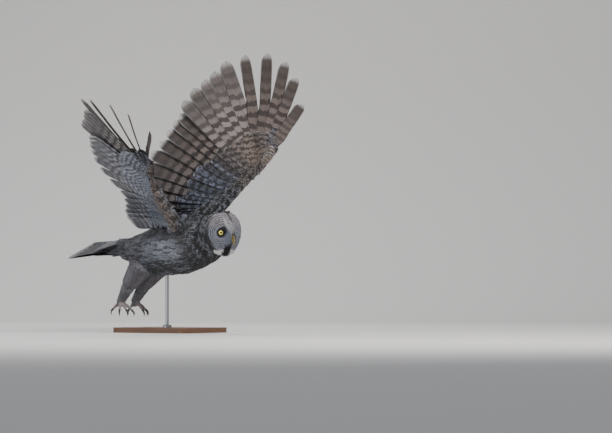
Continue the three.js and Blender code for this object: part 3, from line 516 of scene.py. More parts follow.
class Wing:
    """Bones and flight-feather rows of the left (1) or right (-1) wing."""

    def __init__(self, sign):
        self.sign = sign
        self.shoulder, self.wrist = np.array(SHOULDER[sign], float), np.array(WRIST[sign], float)
        self.axis = unit(HAND_AXIS[sign])
        chord = np.array(HAND_CHORD[sign], float)
        self.chord = unit(chord - self.axis * chord.dot(self.axis))
        self.upper = unit(np.cross(self.axis, self.chord)) * sign
        self.arm_chord = unit(ARM_CHORD[sign])
        self.arm_axis = unit(self.wrist - self.shoulder)
        self.arm_length = np.linalg.norm(self.wrist - self.shoulder)
        self.arm_upper = unit(np.cross(self.arm_axis, self.arm_chord)) * sign
        self.body_chord = unit(BODY_CHORD[sign])
        self.elbow = mix(self.shoulder, self.wrist, 0.47) + self.arm_chord * ELBOW_BACK
        self.hand_end = self.wrist + self.in_hand(MANUS_ANGLE) * MANUS_LENGTH
        rows = []
        for i in range(9, -1, -1):
            out = self.in_hand(PRIMARY_ANGLE[i] * (FAN[sign] if PRIMARY_ANGLE[i] > 0 else 1))
            f = 0.08 + 0.1 * i
            root = mix(self.wrist, self.hand_end, f) + self.chord * 12
            length = PRIMARY_LENGTH[i] * (INNER_SCALE[sign] if i < 5 else 1)
            half, deep = between([27, 19, 11], f), between([10.5, 8, 5], f)
            offset = 12 - between([-1, -5, -7], f)
            rows.append((root, out, self.upper, length, self.chord, half, deep, offset, i))
        first = self.in_hand(49 * FAN[sign])
        for j in range(SECONDARIES):
            t = (j + 0.4) / (SECONDARIES - 0.2)
            out = mix(first, self.arm_chord, smooth(1.25 * t))
            out = unit(mix(out, self.body_chord, smooth((t - 0.5) / 0.5)))
            if t < ELBOW_PLACE:
                bend = t / ELBOW_PLACE
                bone = mix(self.wrist, self.elbow, bend)
                s = 0.53 * bend
            else:
                inward = (t - ELBOW_PLACE) / 0.5
                bone = mix(self.elbow, self.shoulder, inward)
                s, bend = 0.53 + 0.47 * inward, 1 - inward
            upper = unit(mix(self.upper, self.arm_upper, smooth(t)))
            half, deep = between([27, 38, 50, 54, 50], s), between([10.5, 12, 15, 20, 24], s)
            offset = 8 + 34 * bend - between([-1, 11, 19, 19, 11], s)
            length = between(SECONDARY_LENGTH[sign], t)
            root = bone + self.arm_chord * 8
            rows.append((root, out, upper, length, self.arm_chord, half, deep, offset, -1 - j))
        self.rows = rows
        self.count = len(rows)
        self.table = [np.array([r[k] for r in rows], float) for k in range(8)]

    def in_hand(self, degrees):
        turn = math.radians(degrees)
        return math.cos(turn) * self.axis + math.sin(turn) * self.chord

    def arm_share(self, p):
        """How far each place is along the arm, 0 at the shoulder and 1 at the wrist."""
        return (p - self.shoulder) @ self.arm_axis / self.arm_length

    def at(self, s):
        """Values at a place along the row, 0 at the wing's tip and 1 by the body."""
        x = s * (self.count - 1)
        grid = np.arange(self.count)
        read = [
            np.array([np.interp(x, grid, column[:, k]) for k in range(3)]) if column.ndim == 2
            else float(np.interp(x, grid, column))
            for column in self.table
        ]
        for k in (1, 2, 4):
            read[k] = unit(read[k])
        return read

    def core(self, inset):
        stations = [
            (self.shoulder - self.arm_axis * 14, self.arm_chord, self.arm_upper, 50, 24, 26),
            (mix(self.shoulder, self.wrist, 0.25), self.arm_chord, self.arm_upper, 54, 20, 34),
            (mix(self.shoulder, self.wrist, 0.5), self.arm_chord, self.arm_upper, 50, 15, 34),
            (mix(self.shoulder, self.wrist, 0.75), self.arm_chord, self.arm_upper, 38, 12, 26),
            (self.wrist, unit(self.arm_chord + self.chord), self.upper, 27, 10.5, 14),
            (mix(self.wrist, self.hand_end, 0.5), self.chord, self.upper, 19, 8, 10),
            (self.hand_end, self.chord, self.upper, 11, 5, 8),
        ]
        rings = [
            ellipse(at + chord * (back - 15), chord, half - inset, upper, deep - inset, 24)
            for at, chord, upper, half, deep, back in stations
        ]
        first = self.shoulder - self.arm_axis * 28 + self.arm_chord * 18
        loft(rings, first, self.hand_end + self.in_hand(MANUS_ANGLE) * 6)


wings = {sign: Wing(sign) for sign in (1, -1)}
for wing in wings.values():
    wing.core(WING_COAT)
print("wing rows", wings[1].count, "feathers each")

# %% [markdown]
# The fleshy part of the tail narrows to where its feathers are rooted. The tail droops a little and
# is rolled towards the camera's side.

# %% tail flesh
BACK = np.array([-math.cos(TAIL_DROP), 0, -math.sin(TAIL_DROP)])
ACROSS = math.cos(TAIL_ROLL) * np.array([0, 1.0, 0]) - math.sin(TAIL_ROLL) * np.cross(BACK, [0, 1.0, 0])
TAIL_UP = np.cross(BACK, ACROSS)
rings = [
    ellipse(TAIL_ROOT + BACK * 96 * t, ACROSS, wide - 2, TAIL_UP, deep - 2, 20)
    for t, wide, deep in ((0, 31, 27), (0.3, 30, 22), (0.62, 23, 13), (1, 11, 5))
]
loft(rings, TAIL_ROOT - BACK * 8, TAIL_ROOT + BACK * 100)
print("tail up", np.round(TAIL_UP, 2))

# %% [markdown]
# Fusing the flesh: a fine voxel grid joins the overlapping solids into one closed surface, and a few
# rounds of smoothing take the steps out of it, so that it looks like one animal under the coat.

# %% one skin
VOXEL = 0.0024
skin = make_object("skin", np.array(flesh_points) * MM, flesh_faces)
voxels = skin.modifiers.new("fuse", "REMESH")
voxels.mode = "VOXEL"
voxels.voxel_size = VOXEL
soften = skin.modifiers.new("soften", "SMOOTH")
soften.factor = 0.6
soften.iterations = 9
graph = bpy.context.evaluated_depsgraph_get()
fused = bpy.data.meshes.new_from_object(skin.evaluated_get(graph))
skin.modifiers.clear()
skin.data = fused
fused.name = "skin"
fused.polygons.foreach_set("use_smooth", [True] * len(fused.polygons))
print("skin", len(fused.vertices), "points", len(fused.polygons), "faces")

# %% [markdown]
# Every place on the bird belongs to the nearest fleshy part. From that follow the way its feathers
# lie, their size and their colours.

# %% regions
HEAD_PART, TRUNK_PART, TAIL_PART, LEFT_WING, RIGHT_WING, THIGH, SHANK, TOE = range(8)


def segment_distance(p, a, b, ra, rb):
    a, b = np.asarray(a, float), np.asarray(b, float)
    t = np.clip(((p - a) @ (b - a)) / ((b - a) @ (b - a)), 0, 1)
    return np.linalg.norm(p - (a + t[:, None] * (b - a)), axis=1) - (ra + (rb - ra) * t)


def face_coordinates(p):
    q = p - HEAD
    return q @ FACE_OUT, q @ FACE_LEFT, q[:, 2]


def regions(p):
    """Part of each place in millimetres, and the direction of the limb there."""
    out, left, up = face_coordinates(p)
    tall = np.where(up > 0, DISC_HIGH, CHIN)
    deep = np.where(out > 0, FACE_DEPTH, HEAD_BACK)
    head = (np.sqrt((out / deep) ** 2 * 0.9 + (left / DISC_WIDE) ** 2 + (up / tall) ** 2) - 1) * 70 - 3
    top, bottom, half = trunk_at(p[:, 0])
    z = bottom + 0.56 * (top - bottom)
    rise = np.where(p[:, 2] > z, top - z, z - bottom)
    ratio = np.sqrt((p[:, 1] / half) ** 2 + ((p[:, 2] - z) / rise) ** 2)
    ends = np.maximum(0, np.maximum(-214 - p[:, 0], p[:, 0] - 212))
    trunk = (ratio - 1) * np.minimum(half, rise) + ends
    scores = [head, trunk]
    tail_end = TAIL_ROOT + BACK * 100
    scores.append(segment_distance(p, TAIL_ROOT - BACK * 5, tail_end, 29, 9))
    for wing in (wings[1], wings[-1]):
        centre = mix(wing.shoulder, wing.wrist, 0.5) + wing.arm_chord * 19
        arm = segment_distance(p, wing.shoulder + wing.arm_chord * 11, centre, 36, 26)
        fore = segment_distance(p, centre, wing.wrist, 30, 20)
        hand = segment_distance(p, wing.wrist, wing.hand_end, 18, 9)
        scores.append(np.minimum(np.minimum(arm, fore), hand))
    directions = {}
    for part in (THIGH, SHANK, TOE):
        scores.append(np.full(len(p), 1e6))
        directions[part] = np.zeros((len(p), 3))
    for sign in (1, -1):
        hip, hock, ankle = (np.array(v, float) for v in LEGS[sign])
        pieces = [
            (THIGH, hip, hock, 44, 29),
            (SHANK, hock, ankle, 24, 15),
            (TOE, ankle, ankle + DOWN * 14, 13, 9),
        ]
        for i in range(4):
            start, knuckle, end, _ = toe_line(sign, i)
            pieces.append((TOE, start, knuckle, 9, 7.5))
            pieces.append((TOE, knuckle, end, 7.5, 6))
        for part, a, b, ra, rb in pieces:
            d = segment_distance(p, a, b, ra, rb)
            nearer = d < scores[part]
            scores[part] = np.minimum(scores[part], d)
            directions[part][nearer] = unit(b - a)
    part = np.argmin(np.array(scores), axis=0)
    limb_way = np.zeros((len(p), 3))
    for k in (THIGH, SHANK, TOE):
        limb_way[part == k] = directions[k][part == k]
    return part, limb_way


skin_count = len(fused.vertices)
skin_points = np.empty(skin_count * 3)
fused.vertices.foreach_get("co", skin_points)
skin_points = skin_points.reshape(-1, 3) / MM
skin_normals = np.empty(skin_count * 3)
fused.vertex_normals.foreach_get("vector", skin_normals)
skin_normals = skin_normals.reshape(-1, 3)
skin_part = regions(skin_points)[0]
print("skin points in each part", np.bincount(skin_part))

# %% [markdown]
# Markings give the colours of the feather rooted at each place. The back is dark and flecked, the
# belly pale with dark streaks along it, the wings brown ahead and grey behind. The same colours, made
# darker as painted shade, are under the feathers on the skin, so nothing pale shows between them.

# %% colours of the body


def disc_radius(left, up):
    return np.hypot(left / DISC_WIDE, up / np.where(up > 0, DISC_HIGH, CHIN))


def blotch(p, scale, seed):
    """Soft irregular patches between 0 and 1."""
    turn = np.random.default_rng(seed)
    total = np.zeros(len(p))
    for _ in range(7):
        way = unit(turn.normal(size=3)) * scale * turn.uniform(0.6, 1.5)
        total += np.sin(p @ way + turn.uniform(0, 6.28))
    return np.clip(0.5 + total / 6.0, 0, 1)


PALE, MID, DARK = srgb(0.66, 0.68, 0.73), srgb(0.37, 0.375, 0.41), srgb(0.11, 0.11, 0.125)
WHITE, BLACK = srgb(0.92, 0.92, 0.92), srgb(0.05, 0.05, 0.055)
BROWN, BUFF, TOE_PINK = srgb(0.29, 0.245, 0.22), srgb(0.54, 0.48, 0.44), srgb(0.62, 0.54, 0.50)
DISC_LOW, DISC_TOP = srgb(0.56, 0.57, 0.62), srgb(0.68, 0.66, 0.68)
BILL_SIDE, RING = srgb(0.38, 0.42, 0.48), srgb(0.17, 0.165, 0.18)
MIDDLE_LINE, RIM = srgb(0.24, 0.21, 0.21), srgb(0.085, 0.07, 0.07)
FACE_FROM = 8.0  # the face is what lies further out than this from the middle of the head
WING_PARTS = ((LEFT_WING, wings[1]), (RIGHT_WING, wings[-1]))


def trunk_look(p, mottle, flecks):
    """Colours of the trunk, and how much each place is belly and flank."""
    coarse = blotch(p, 0.05, 8)[:, None]
    below = smooth((300 - p[:, 2]) / 70)[:, None]
    sideways = smooth((np.abs(p[:, 1]) - 35) / 40)
    in_band = smooth((p[:, 2] - 222) / 40) * smooth((345 - p[:, 2]) / 40) * smooth((150 - p[:, 0]) / 60)
    flank_here = (sideways * in_band)[:, None]
    around = np.stack([p[:, 0] * 0.16, p[:, 1], p[:, 2]], 1)
    stripes = blotch(around, 0.40, 17)[:, None]
    back = mix(DARK * 1.25, MID, mottle * 0.8)
    belly = mix(MID * 1.05, PALE, mottle)
    belly = mix(belly, DARK * 0.7, 0.92 * smooth((stripes - 0.44) / 0.16))
    flank = mix(MID, PALE * 0.85, 0.15 + 0.75 * coarse)
    flank = mix(flank, DARK, 0.75 * smooth((stripes - 0.55) / 0.16))
    trunk = mix(mix(back, belly, below), flank, flank_here * 0.85)
    neck = smooth((p[:, 0] - 120) / 30)[:, None]
    neck_colour = mix(DARK * 1.1, PALE * 0.44, smooth((flecks - 0.45) / 0.25))
    return mix(trunk, neck_colour, neck * 0.85), below[:, 0], flank_here[:, 0]


def wing_look(p, normal, wing):
    """Ground and dark colours of a wing, and how far each place faces the wing's upper side."""
    top_side = smooth(0.5 + 1.5 * (normal @ wing.arm_upper))[:, None]
    ahead = smooth((6 - (p - wing.shoulder) @ wing.arm_chord) / 22)[:, None]
    near_hand = smooth((wing.arm_share(p) - 0.62) / 0.3)[:, None]
    flecked = smooth((blotch(p * np.array([1.0, 1.0, 0.5]), 0.55, 41) - 0.40) / 0.3)[:, None]
    hand_colour = mix(BROWN * 0.6, BUFF * 0.8, flecked)
    upper = mix(mix(DARK, PALE * 0.50, flecked), hand_colour, near_hand * 0.8)
    under = mix(MID * 1.2, PALE * 0.95, flecked)
    under = mix(under, mix(BROWN * 0.55, BUFF * 0.95, flecked), ahead * 0.9)
    return mix(under, upper, top_side), mix(BROWN, DARK, top_side), top_side[:, 0]


print("body colours ready")

# %% [markdown]
# The face is painted in layers: rings round the eyes, pale brows, the dark line between them, the
# dark corner of each eye, the rim, the black chin and the white moustache.

# %% colours of the face


def face_look(p, left, up, r):
    """Colours of the facial disc, from places across and up it and their share of its radius."""
    across = np.abs(left)
    eye_distance = np.hypot(across - EYE_SIDE, (up - EYE_UP) * 0.97)
    rings = 0.5 + 0.5 * np.sin(2 * np.pi * (eye_distance / 7.4 + 0.35 * (blotch(p, 0.12, 21) - 0.5)))
    rings = smooth((rings - 0.40) / 0.35) * smooth((eye_distance - 14) / 8)
    rings = rings * (1 - 0.35 * smooth((eye_distance - 42) / 20))
    by_bill = smooth((28 - across) / 18) * smooth((8 - up) / 14) * smooth((up + 50) / 20)
    brow_bend = np.abs(across - 7 - 0.32 * np.maximum(up, 0))
    brow = smooth(1 - brow_bend / 6) * smooth((up + 4) / 10) * smooth((46 - up) / 14)
    middle_line = smooth(1 - across / 5) * smooth((up - 8) / 12)
    eye_corner = np.hypot((across - EYE_SIDE + 7) / 8.5, (up - EYE_UP - 6) / 13)
    chin = smooth((17 - across) / 5) * smooth((-46 - up) / 8)
    moustache = smooth(1.3 - np.abs(up + 72) / 12) * smooth((across - 15) / 6) * smooth((46 - across) / 12)
    broad = 0.075 + 0.05 * smooth((-5 - up) / 30)
    rim = smooth(1.5 - np.abs(r - 0.975) / broad) * (1 - moustache) * (1 - 0.5 * smooth((up - 20) / 30))
    face = mix(DISC_LOW, DISC_TOP, smooth((up + 5) / 40)[:, None])
    layers = [
        (BILL_SIDE, 0.8 * by_bill),
        (RING, 0.80 * rings * (1 - by_bill)),
        (WHITE, 0.9 * 0.55 * brow),
        (MIDDLE_LINE, 0.8 * middle_line),
        (BLACK * 0.8, smooth(1.75 - 1.25 * eye_corner)),
        (BLACK, 0.95 * smooth((15.0 - eye_distance) / 2.5)),
        (RIM, 0.95 * rim),
        (BLACK * 1.2, chin),
        (WHITE * 1.02, moustache),
    ]
    for colour, amount in layers:
        face = mix(face, colour, amount[:, None])
    return face


print("face colours ready")

# %% [markdown]
# The markings of a place are chosen by the part that it belongs to.

# %% markings


def markings(p, normal):
    """Ground colour, dark colour and marks of the feather rooted at each place in millimetres."""
    part, way = regions(p)
    n = len(p)
    ground, dark, marks = np.tile(MID, (n, 1)), np.tile(DARK, (n, 1)), np.zeros((n, 4))
    mottle = blotch(p, 0.16, 3)[:, None]
    flecks = blotch(p, 0.5, 31)[:, None]
    k = part == TRUNK_PART
    trunk, below, flank_here = trunk_look(p, mottle, flecks)
    ground[k] = trunk[k]
    marks[k, 2] = (0.65 + 0.33 * below - 0.35 * flank_here).clip(0, 0.95)[k]
    marks[k, 0] = np.where(below < 0.4, 0.1, 0.0)[k]
    k = part == TAIL_PART
    ground[k] = mix(MID, PALE, 0.5 * mottle)[k]
    marks[k] = (0.1, 0.2, 0.7, 0.2)
    for index, wing in WING_PARTS:
        k = part == index
        wing_ground, wing_dark, top_side = wing_look(p, normal, wing)
        ground[k] = wing_ground[k]
        dark[k] = wing_dark[k]
        marks[k, 0] = 0.1
        marks[k, 2] = (0.35 + 0.45 * top_side)[k]
        marks[k, 3] = 0.15
    k = (part == THIGH) | (part == SHANK)
    ground[k] = mix(mix(MID * 1.3, PALE * 0.95, mottle), BUFF, 0.25)[k]
    dark[k] = DARK * 1.5
    marks[k, 2] = 0.5
    k = part == TOE
    ground[k] = mix(TOE_PINK, PALE, 0.5 * mottle)[k]
    marks[k, 2] = 0.1
    k = part == HEAD_PART
    ground[k] = mix(DARK * 0.9, PALE * 0.50, smooth((flecks - 0.45) / 0.25))[k]
    marks[k] = (0.1, 0.1, 0.75, 0.25)
    out, left, up = face_coordinates(p)
    r = disc_radius(left, up)
    k = (part == HEAD_PART) & (out > FACE_FROM) & (r < 1.08)
    face = face_look(p, left, up, r)
    ground[k] = face[k]
    dark[k] = (face * 0.55)[k]
    marks[k] = (0.0, 0.0, 0.25, 0.0)
    bib = (np.abs(p[:, 1] + 14) < 46) & (up < -66) & (up > -92) & (out > -5) & (part == TRUNK_PART)
    ground[bib] = mix(PALE * 0.5, WHITE * 0.8, flecks)[bib]
    marks[bib, 2] = 0.1
    return part, way, ground, dark, marks


skin_part, _, ground, dark, marks = markings(skin_points, skin_normals)
print("skin is", np.round(ground.mean(axis=0), 3), "on average")

# %% [markdown]
# The flat map of the whole coat has one panel for the trunk, one for the head, one for each wing and
# one for the legs. A feather is a small patch at its root's place on it.

# %% flat map


def fill_panel(flat, chosen, corner, size, u, v):
    """Put the chosen places on one panel of the map, from their shares across and up it."""
    flat[chosen] = np.stack([corner[0] + size[0] * u, corner[1] + size[1] * v], 1)[chosen]


def turn_share(a, b):
    """Angle of each place as a share of a full turn."""
    return np.arctan2(a, b) / (2 * np.pi) + 0.5


def body_map(p, part):
    """Place of each point of the skin on the flat map."""
    flat = np.zeros((len(p), 2))
    k = (part == TRUNK_PART) | (part == TAIL_PART)
    along = np.clip((p[:, 0] + 310) / 540, 0, 1)
    fill_panel(flat, k, (0.02, 0.02), (0.46, 0.46), along, turn_share(p[:, 1], p[:, 2] - 290))
    out, left, up = face_coordinates(p)
    far = np.maximum(np.sqrt(out**2 + left**2 + up**2), 1)
    height = np.arcsin(np.clip(up / far, -1, 1)) / np.pi + 0.5
    fill_panel(flat, part == HEAD_PART, (0.52, 0.02), (0.46, 0.46), turn_share(left, out), height)
    for (index, wing), start in zip(WING_PARTS, (0.02, 0.27)):
        q = p - wing.shoulder
        chordwise = turn_share(q @ wing.arm_upper, q @ wing.arm_chord)
        along = np.clip((q @ wing.arm_axis + 40) / 420, 0, 1)
        fill_panel(flat, part == index, (start, 0.52), (0.21, 0.46), chordwise, along)
    around = turn_share(p[:, 0] + 130, np.abs(p[:, 1]) - 36)
    height = np.clip((p[:, 2] - 60) / 200, 0, 1)
    start = 0.52 + np.where(p[:, 1] > 0, 0.0, 0.115)
    fill_panel(flat, part >= THIGH, (start, 0.52), (0.105, 0.46), around, height)
    return flat


def set_colour(mesh, name, values):
    attribute = mesh.color_attributes.new(name, "FLOAT_COLOR", "POINT")
    values = np.asarray(values, float)
    if values.shape[1] == 3:
        values = np.hstack([values, np.ones((len(values), 1))])
    attribute.data.foreach_set("color", values.ravel())


def set_map(mesh, name, per_point):
    corners = np.empty(len(mesh.loops), int)
    mesh.loops.foreach_get("vertex_index", corners)
    layer = mesh.uv_layers.new(name=name)
    layer.data.foreach_set("uv", per_point[corners].ravel())


# The skin takes the feathers' ground colours at 0.7 of their brightness and no marks: painted shade where it
# shows between the feathers.
set_colour(fused, "ground", ground * 0.7)
set_colour(fused, "dark", dark)
set_colour(fused, "marks", marks * 0)
set_map(fused, "feather", np.tile([0.5, 0.5], (skin_count, 1)))
set_map(fused, "OFBake", body_map(skin_points, skin_part))
fused.materials.clear()
fused.materials.append(tuft_material)
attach(skin, "root")
flesh_nodes = ["torso", "neck", "head"]
for side in ("left", "right"):
    flesh_nodes += [f"thigh_{side}", f"shank_{side}", f"foot_{side}"]
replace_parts(skin, *flesh_nodes)
print("skin shown in place of", len(flesh_nodes), "nodes")

# %% [markdown]
# Small feathers. Each is a thin closed leaf with a raised middle, rooted just under the skin, laid
# along the flow of the plumage and curved back down on it. They are spread evenly by keeping one
# random place in every little cell of the surface, so that tiers overlap like tiles.

# %% small feathers
vertex_of_face = np.empty(len(fused.loops), int)
fused.loops.foreach_get("vertex_index", vertex_of_face)
fused.calc_loop_triangles()
triangles = np.empty(len(fused.loop_triangles) * 3, int)
fused.loop_triangles.foreach_get("vertices", triangles)
triangles = triangles.reshape(-1, 3)
corner_a, corner_b, corner_c = (skin_points[triangles[:, i]] for i in range(3))
areas = np.linalg.norm(np.cross(corner_b - corner_a, corner_c - corner_a), axis=1) / 2


def scatter(spacing, wanted):
    """Even places on the skin about `spacing` millimetres apart, on the wanted vertices only."""
    inside = wanted[triangles[:, 0]]
    weight = areas * inside
    total = weight.sum()
    tries = int(total / spacing**2 * 3.2)
    chosen = rng.choice(len(triangles), tries, p=weight / total)
    a, b = rng.random(tries), rng.random(tries)
    flip = a + b > 1
    a[flip], b[flip] = 1 - a[flip], 1 - b[flip]
    c = 1 - a - b
    tri = triangles[chosen]
    shares = ((c, tri[:, 0]), (a, tri[:, 1]), (b, tri[:, 2]))
    spots = sum(share[:, None] * skin_points[corner] for share, corner in shares)
    normals = unit(sum(share[:, None] * skin_normals[corner] for share, corner in shares))
    cells = np.floor(spots / (spacing * 1.12)).astype(np.int64)
    key = cells[:, 0] * 7919 * 7919 + cells[:, 1] * 7919 + cells[:, 2]
    _, first = np.unique(key, return_index=True)
    return spots[first], normals[first]


def leaf(rows):
    """Template of one small feather: points (across, along, height) and its faces."""
    points = [(0, 0, 0)]
    shape = {2: [(0.36, 0.42), (0.76, 0.40)], 3: [(0.25, 0.36), (0.55, 0.50), (0.84, 0.36)]}[rows]
    for y, half in shape:
        points += [(-half, y, 0), (0, y + 0.02, 0.10), (half, y, 0), (0, y + 0.02, 0.02)]
    points.append((0, 1, 0))
    faces = []
    for i in range(4):
        j = (i + 1) % 4
        faces.append((0, 1 + j, 1 + i))
        for r in range(rows - 1):
            a = 1 + 4 * r
            faces.append((a + i, a + j, a + 4 + j, a + 4 + i))
        last = 1 + 4 * (rows - 1)
        faces.append((last + i, last + j, len(points) - 1))
    return np.array(points, float), faces


TUFT_PATCH = 0.003
coat_triangles = 0


def coat_piece(name, points, loops, sizes, maps, colours):
    """Object of feathers from arrays: points in millimetres, the faces' corners, and the looks."""
    mesh = bpy.data.meshes.new(name)
    mesh.vertices.add(len(points))
    mesh.vertices.foreach_set("co", (points * MM).ravel())
    mesh.loops.add(len(loops))
    mesh.loops.foreach_set("vertex_index", loops)
    mesh.polygons.add(len(sizes))
    mesh.polygons.foreach_set("loop_start", np.concatenate([[0], np.cumsum(sizes)[:-1]]))
    mesh.polygons.foreach_set("use_smooth", np.ones(len(sizes), bool))
    mesh.update(calc_edges=True)
    for key, values in maps.items():
        set_map(mesh, key, values)
    for key, values in colours.items():
        set_colour(mesh, key, values)
    made = bpy.data.objects.new(name, mesh)
    bpy.context.scene.collection.objects.link(made)
    return made


def small_feathers(name, spots, normals, flow, length, width, lift, looks, rows):
    """Joined mesh of small feathers; `looks` holds part, ground, dark and marks of each."""
    global coat_triangles
    part, ground, dark, marks = looks
    template, faces = leaf(rows)
    m, n = len(template), len(spots)
    flow = flow - normals * np.sum(flow * normals, 1, keepdims=True)
    flow = unit(flow + rng.normal(scale=0.10, size=flow.shape))
    flow = unit(flow - normals * np.sum(flow * normals, 1, keepdims=True))
    across = np.cross(flow, normals)
    length = length * (1 + 0.14 * rng.standard_normal(n).clip(-2, 2))
    width = width * (1 + 0.10 * rng.standard_normal(n).clip(-2, 2))
    lift = lift * (1 + 0.2 * rng.standard_normal(n).clip(-2, 2))
    x, y, z = template.T
    bend = lift[:, None] * (1.6 * y - 0.9 * y * y)[None, :] * length[:, None]
    points = spots[:, None, :] - normals[:, None, :] * 0.7
    points = points + across[:, None, :] * (x[None, :, None] * width[:, None, None])
    points = points + flow[:, None, :] * (y[None, :, None] * length[:, None, None])
    height = bend + z[None, :] * width[:, None] - 0.35 * (x[None, :] ** 2) * width[:, None]
    points = points + normals[:, None, :] * height[:, :, None]
    starts = (np.arange(n) * m)[:, None]
    quads = np.array([f for f in faces if len(f) == 4], int).reshape(-1, 4)
    tris = np.array([f for f in faces if len(f) == 3], int)
    loops = np.concatenate([(starts + corners.ravel()[None, :]).ravel() for corners in (tris, quads)])
    sizes = np.concatenate([np.full(len(tris) * n, 3), np.full(len(quads) * n, 4)])
    patch = np.stack([x * TUFT_PATCH, (y - 0.5) * TUFT_PATCH], 1)
    maps = {
        "feather": np.tile(np.stack([x + 0.5, y], 1), (n, 1)),
        "OFBake": (body_map(spots, part)[:, None, :] + patch[None]).reshape(-1, 2),
    }
    shade = (1 + 0.09 * rng.standard_normal((n, 1))).clip(0.6, 1.4)
    marks = marks.copy()
    marks[:, 1] = rng.random(n)
    colours = {"ground": (ground * shade).clip(0, 0.95), "dark": dark, "marks": marks}
    colours = {key: np.repeat(values, m, axis=0) for key, values in colours.items()}
    made = coat_piece(name, points.reshape(-1, 3), loops, sizes, maps, colours)
    made.data.materials.append(tuft_material)
    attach(made, "root")
    count = n * (len(tris) + 2 * len(quads))
    coat_triangles += count
    print(name, n, "feathers", count, "triangles")


print("leaf of", len(leaf(3)[0]), "points")

# %% [markdown]
# Body feathers point back to the tail, those of the limbs along them, and those of the face outward
# from each eye. The face's middle ones point away from the bill.

# %% lie of the feathers


def body_flow(p, part, way, normal):
    flow = np.tile([-1.0, 0, 0], (len(p), 1))
    down = smooth((p[:, 0] - 60) / 120)[:, None]
    flow = flow + down * np.array([0, 0, -0.35]) * (np.abs(normal[:, 2:3]) < 0.8)
    k = part >= THIGH
    flow[k] = way[k]
    k = part == TAIL_PART
    flow[k] = BACK
    for index, wing in WING_PARTS:
        k = part == index
        s = np.clip(wing.arm_share(p), 0, 1)[:, None]
        past = smooth((p - wing.wrist) @ unit(wing.hand_end - wing.wrist) / 60)[:, None]
        arm_way = mix(wing.body_chord, wing.arm_chord, smooth(s * 2))
        turned = unit(mix(arm_way, wing.in_hand(40 * FAN[wing.sign]), smooth((s - 0.7) / 0.3)))
        flow[k] = mix(turned, wing.in_hand(0), past)[k]
    return flow


def face_flow(p):
    out, left, up = face_coordinates(p)
    side = np.where(left >= 0, 1.0, -1.0)
    from_eye = (left - side * EYE_SIDE)[:, None] * FACE_LEFT + (up - EYE_UP)[:, None] * UP
    from_bill = left[:, None] * FACE_LEFT * 0.6 + (up + 14)[:, None] * UP
    middle_part = smooth(1 - np.abs(left) / 13)[:, None]
    flow = mix(unit(from_eye), unit(from_bill), middle_part)
    behind = smooth((disc_radius(left, up) - 0.95) / 0.1)[:, None]
    return mix(flow, -FACE_OUT + 0.25 * unit(from_eye), behind * smooth((20 - out) / 15)[:, None])


head_out, head_left, head_up = face_coordinates(skin_points)
skin_r = disc_radius(head_left, head_up)
on_head_part = skin_part == HEAD_PART
is_face = on_head_part & (head_out > FACE_FROM)
print("face covers", int(is_face.sum()), "points of the skin")

# %% [markdown]
# The coat is put on part by part, with longer feathers on the rump and the finest on the face.

# %% coat
MOST, MOST_FINE = 7800, 12000  # feathers in one piece, of three rows and of two rows


def dress(name, spacing, wanted, length, width, lift, rows):
    """Cover the wanted part of the skin with feathers of one kind, split into a few pieces."""
    spots, normals = scatter(spacing, wanted)
    part, way, ground, dark, marks = markings(spots, normals)
    flow = body_flow(spots, part, way, normals)
    head_rows = part == HEAD_PART
    flow[head_rows] = face_flow(spots)[head_rows]
    sized = length(spots) if callable(length) else np.full(len(spots), float(length))
    order = np.argsort(spots[:, 0])
    groups = max(1, math.ceil(len(spots) / (MOST if rows == 3 else MOST_FINE)))
    for g, index in enumerate(np.array_split(order, groups)):
        looks = (part[index], ground[index], dark[index], marks[index])
        small_feathers(
            f"{name}_{g + 1}", spots[index], normals[index], flow[index], sized[index],
            np.full(len(index), float(width)), np.full(len(index), float(lift)), looks, rows,
        )


def trunk_length(p):
    return 19 + 11 * smooth((150 - p[:, 0]) / 250) - 5 * smooth((p[:, 0] - 150) / 60)


ease = 1.0
dress("body_feathers", 3.3 * ease, skin_part == TRUNK_PART, trunk_length, 8.5, 0.20, 3)
dress("rump_feathers", 3.2 * ease, skin_part == TAIL_PART, 22, 9, 0.14, 3)
dress("crown_feathers", 2.3 * ease, on_head_part & ~is_face, 10, 4.6, 0.20, 2)
dress("face_feathers", 1.35 * ease, is_face & (skin_r < 1.2), 6.2, 2.3, 0.20, 2)
dress("thigh_feathers", 3.0 * ease, skin_part == THIGH, 15, 6.5, 0.17, 2)
dress("shank_feathers", 2.1 * ease, skin_part == SHANK, 9, 3.6, 0.18, 2)
dress("toe_feathers", 1.5 * ease, skin_part == TOE, 4.6, 2.0, 0.16, 2)
for label, index in (("left", LEFT_WING), ("right", RIGHT_WING)):
    dress(f"shoulder_feathers_{label}", 3.0 * ease, skin_part == index, 15, 7, 0.13, 2)
print("small feathers", coat_triangles, "triangles")

# %% [markdown]
# Tufts of the face stand out of the disc: pale brows with dark feathers between them, bristles round
# the bill, the white moustache, the black chin and a few dark feathers over the forehead.

# %% tufts of the face


def face_depth(left, up):
    r = np.clip(disc_radius(left, up), 0, 1)
    return face_relief(left, up, r) - HEAD_COAT


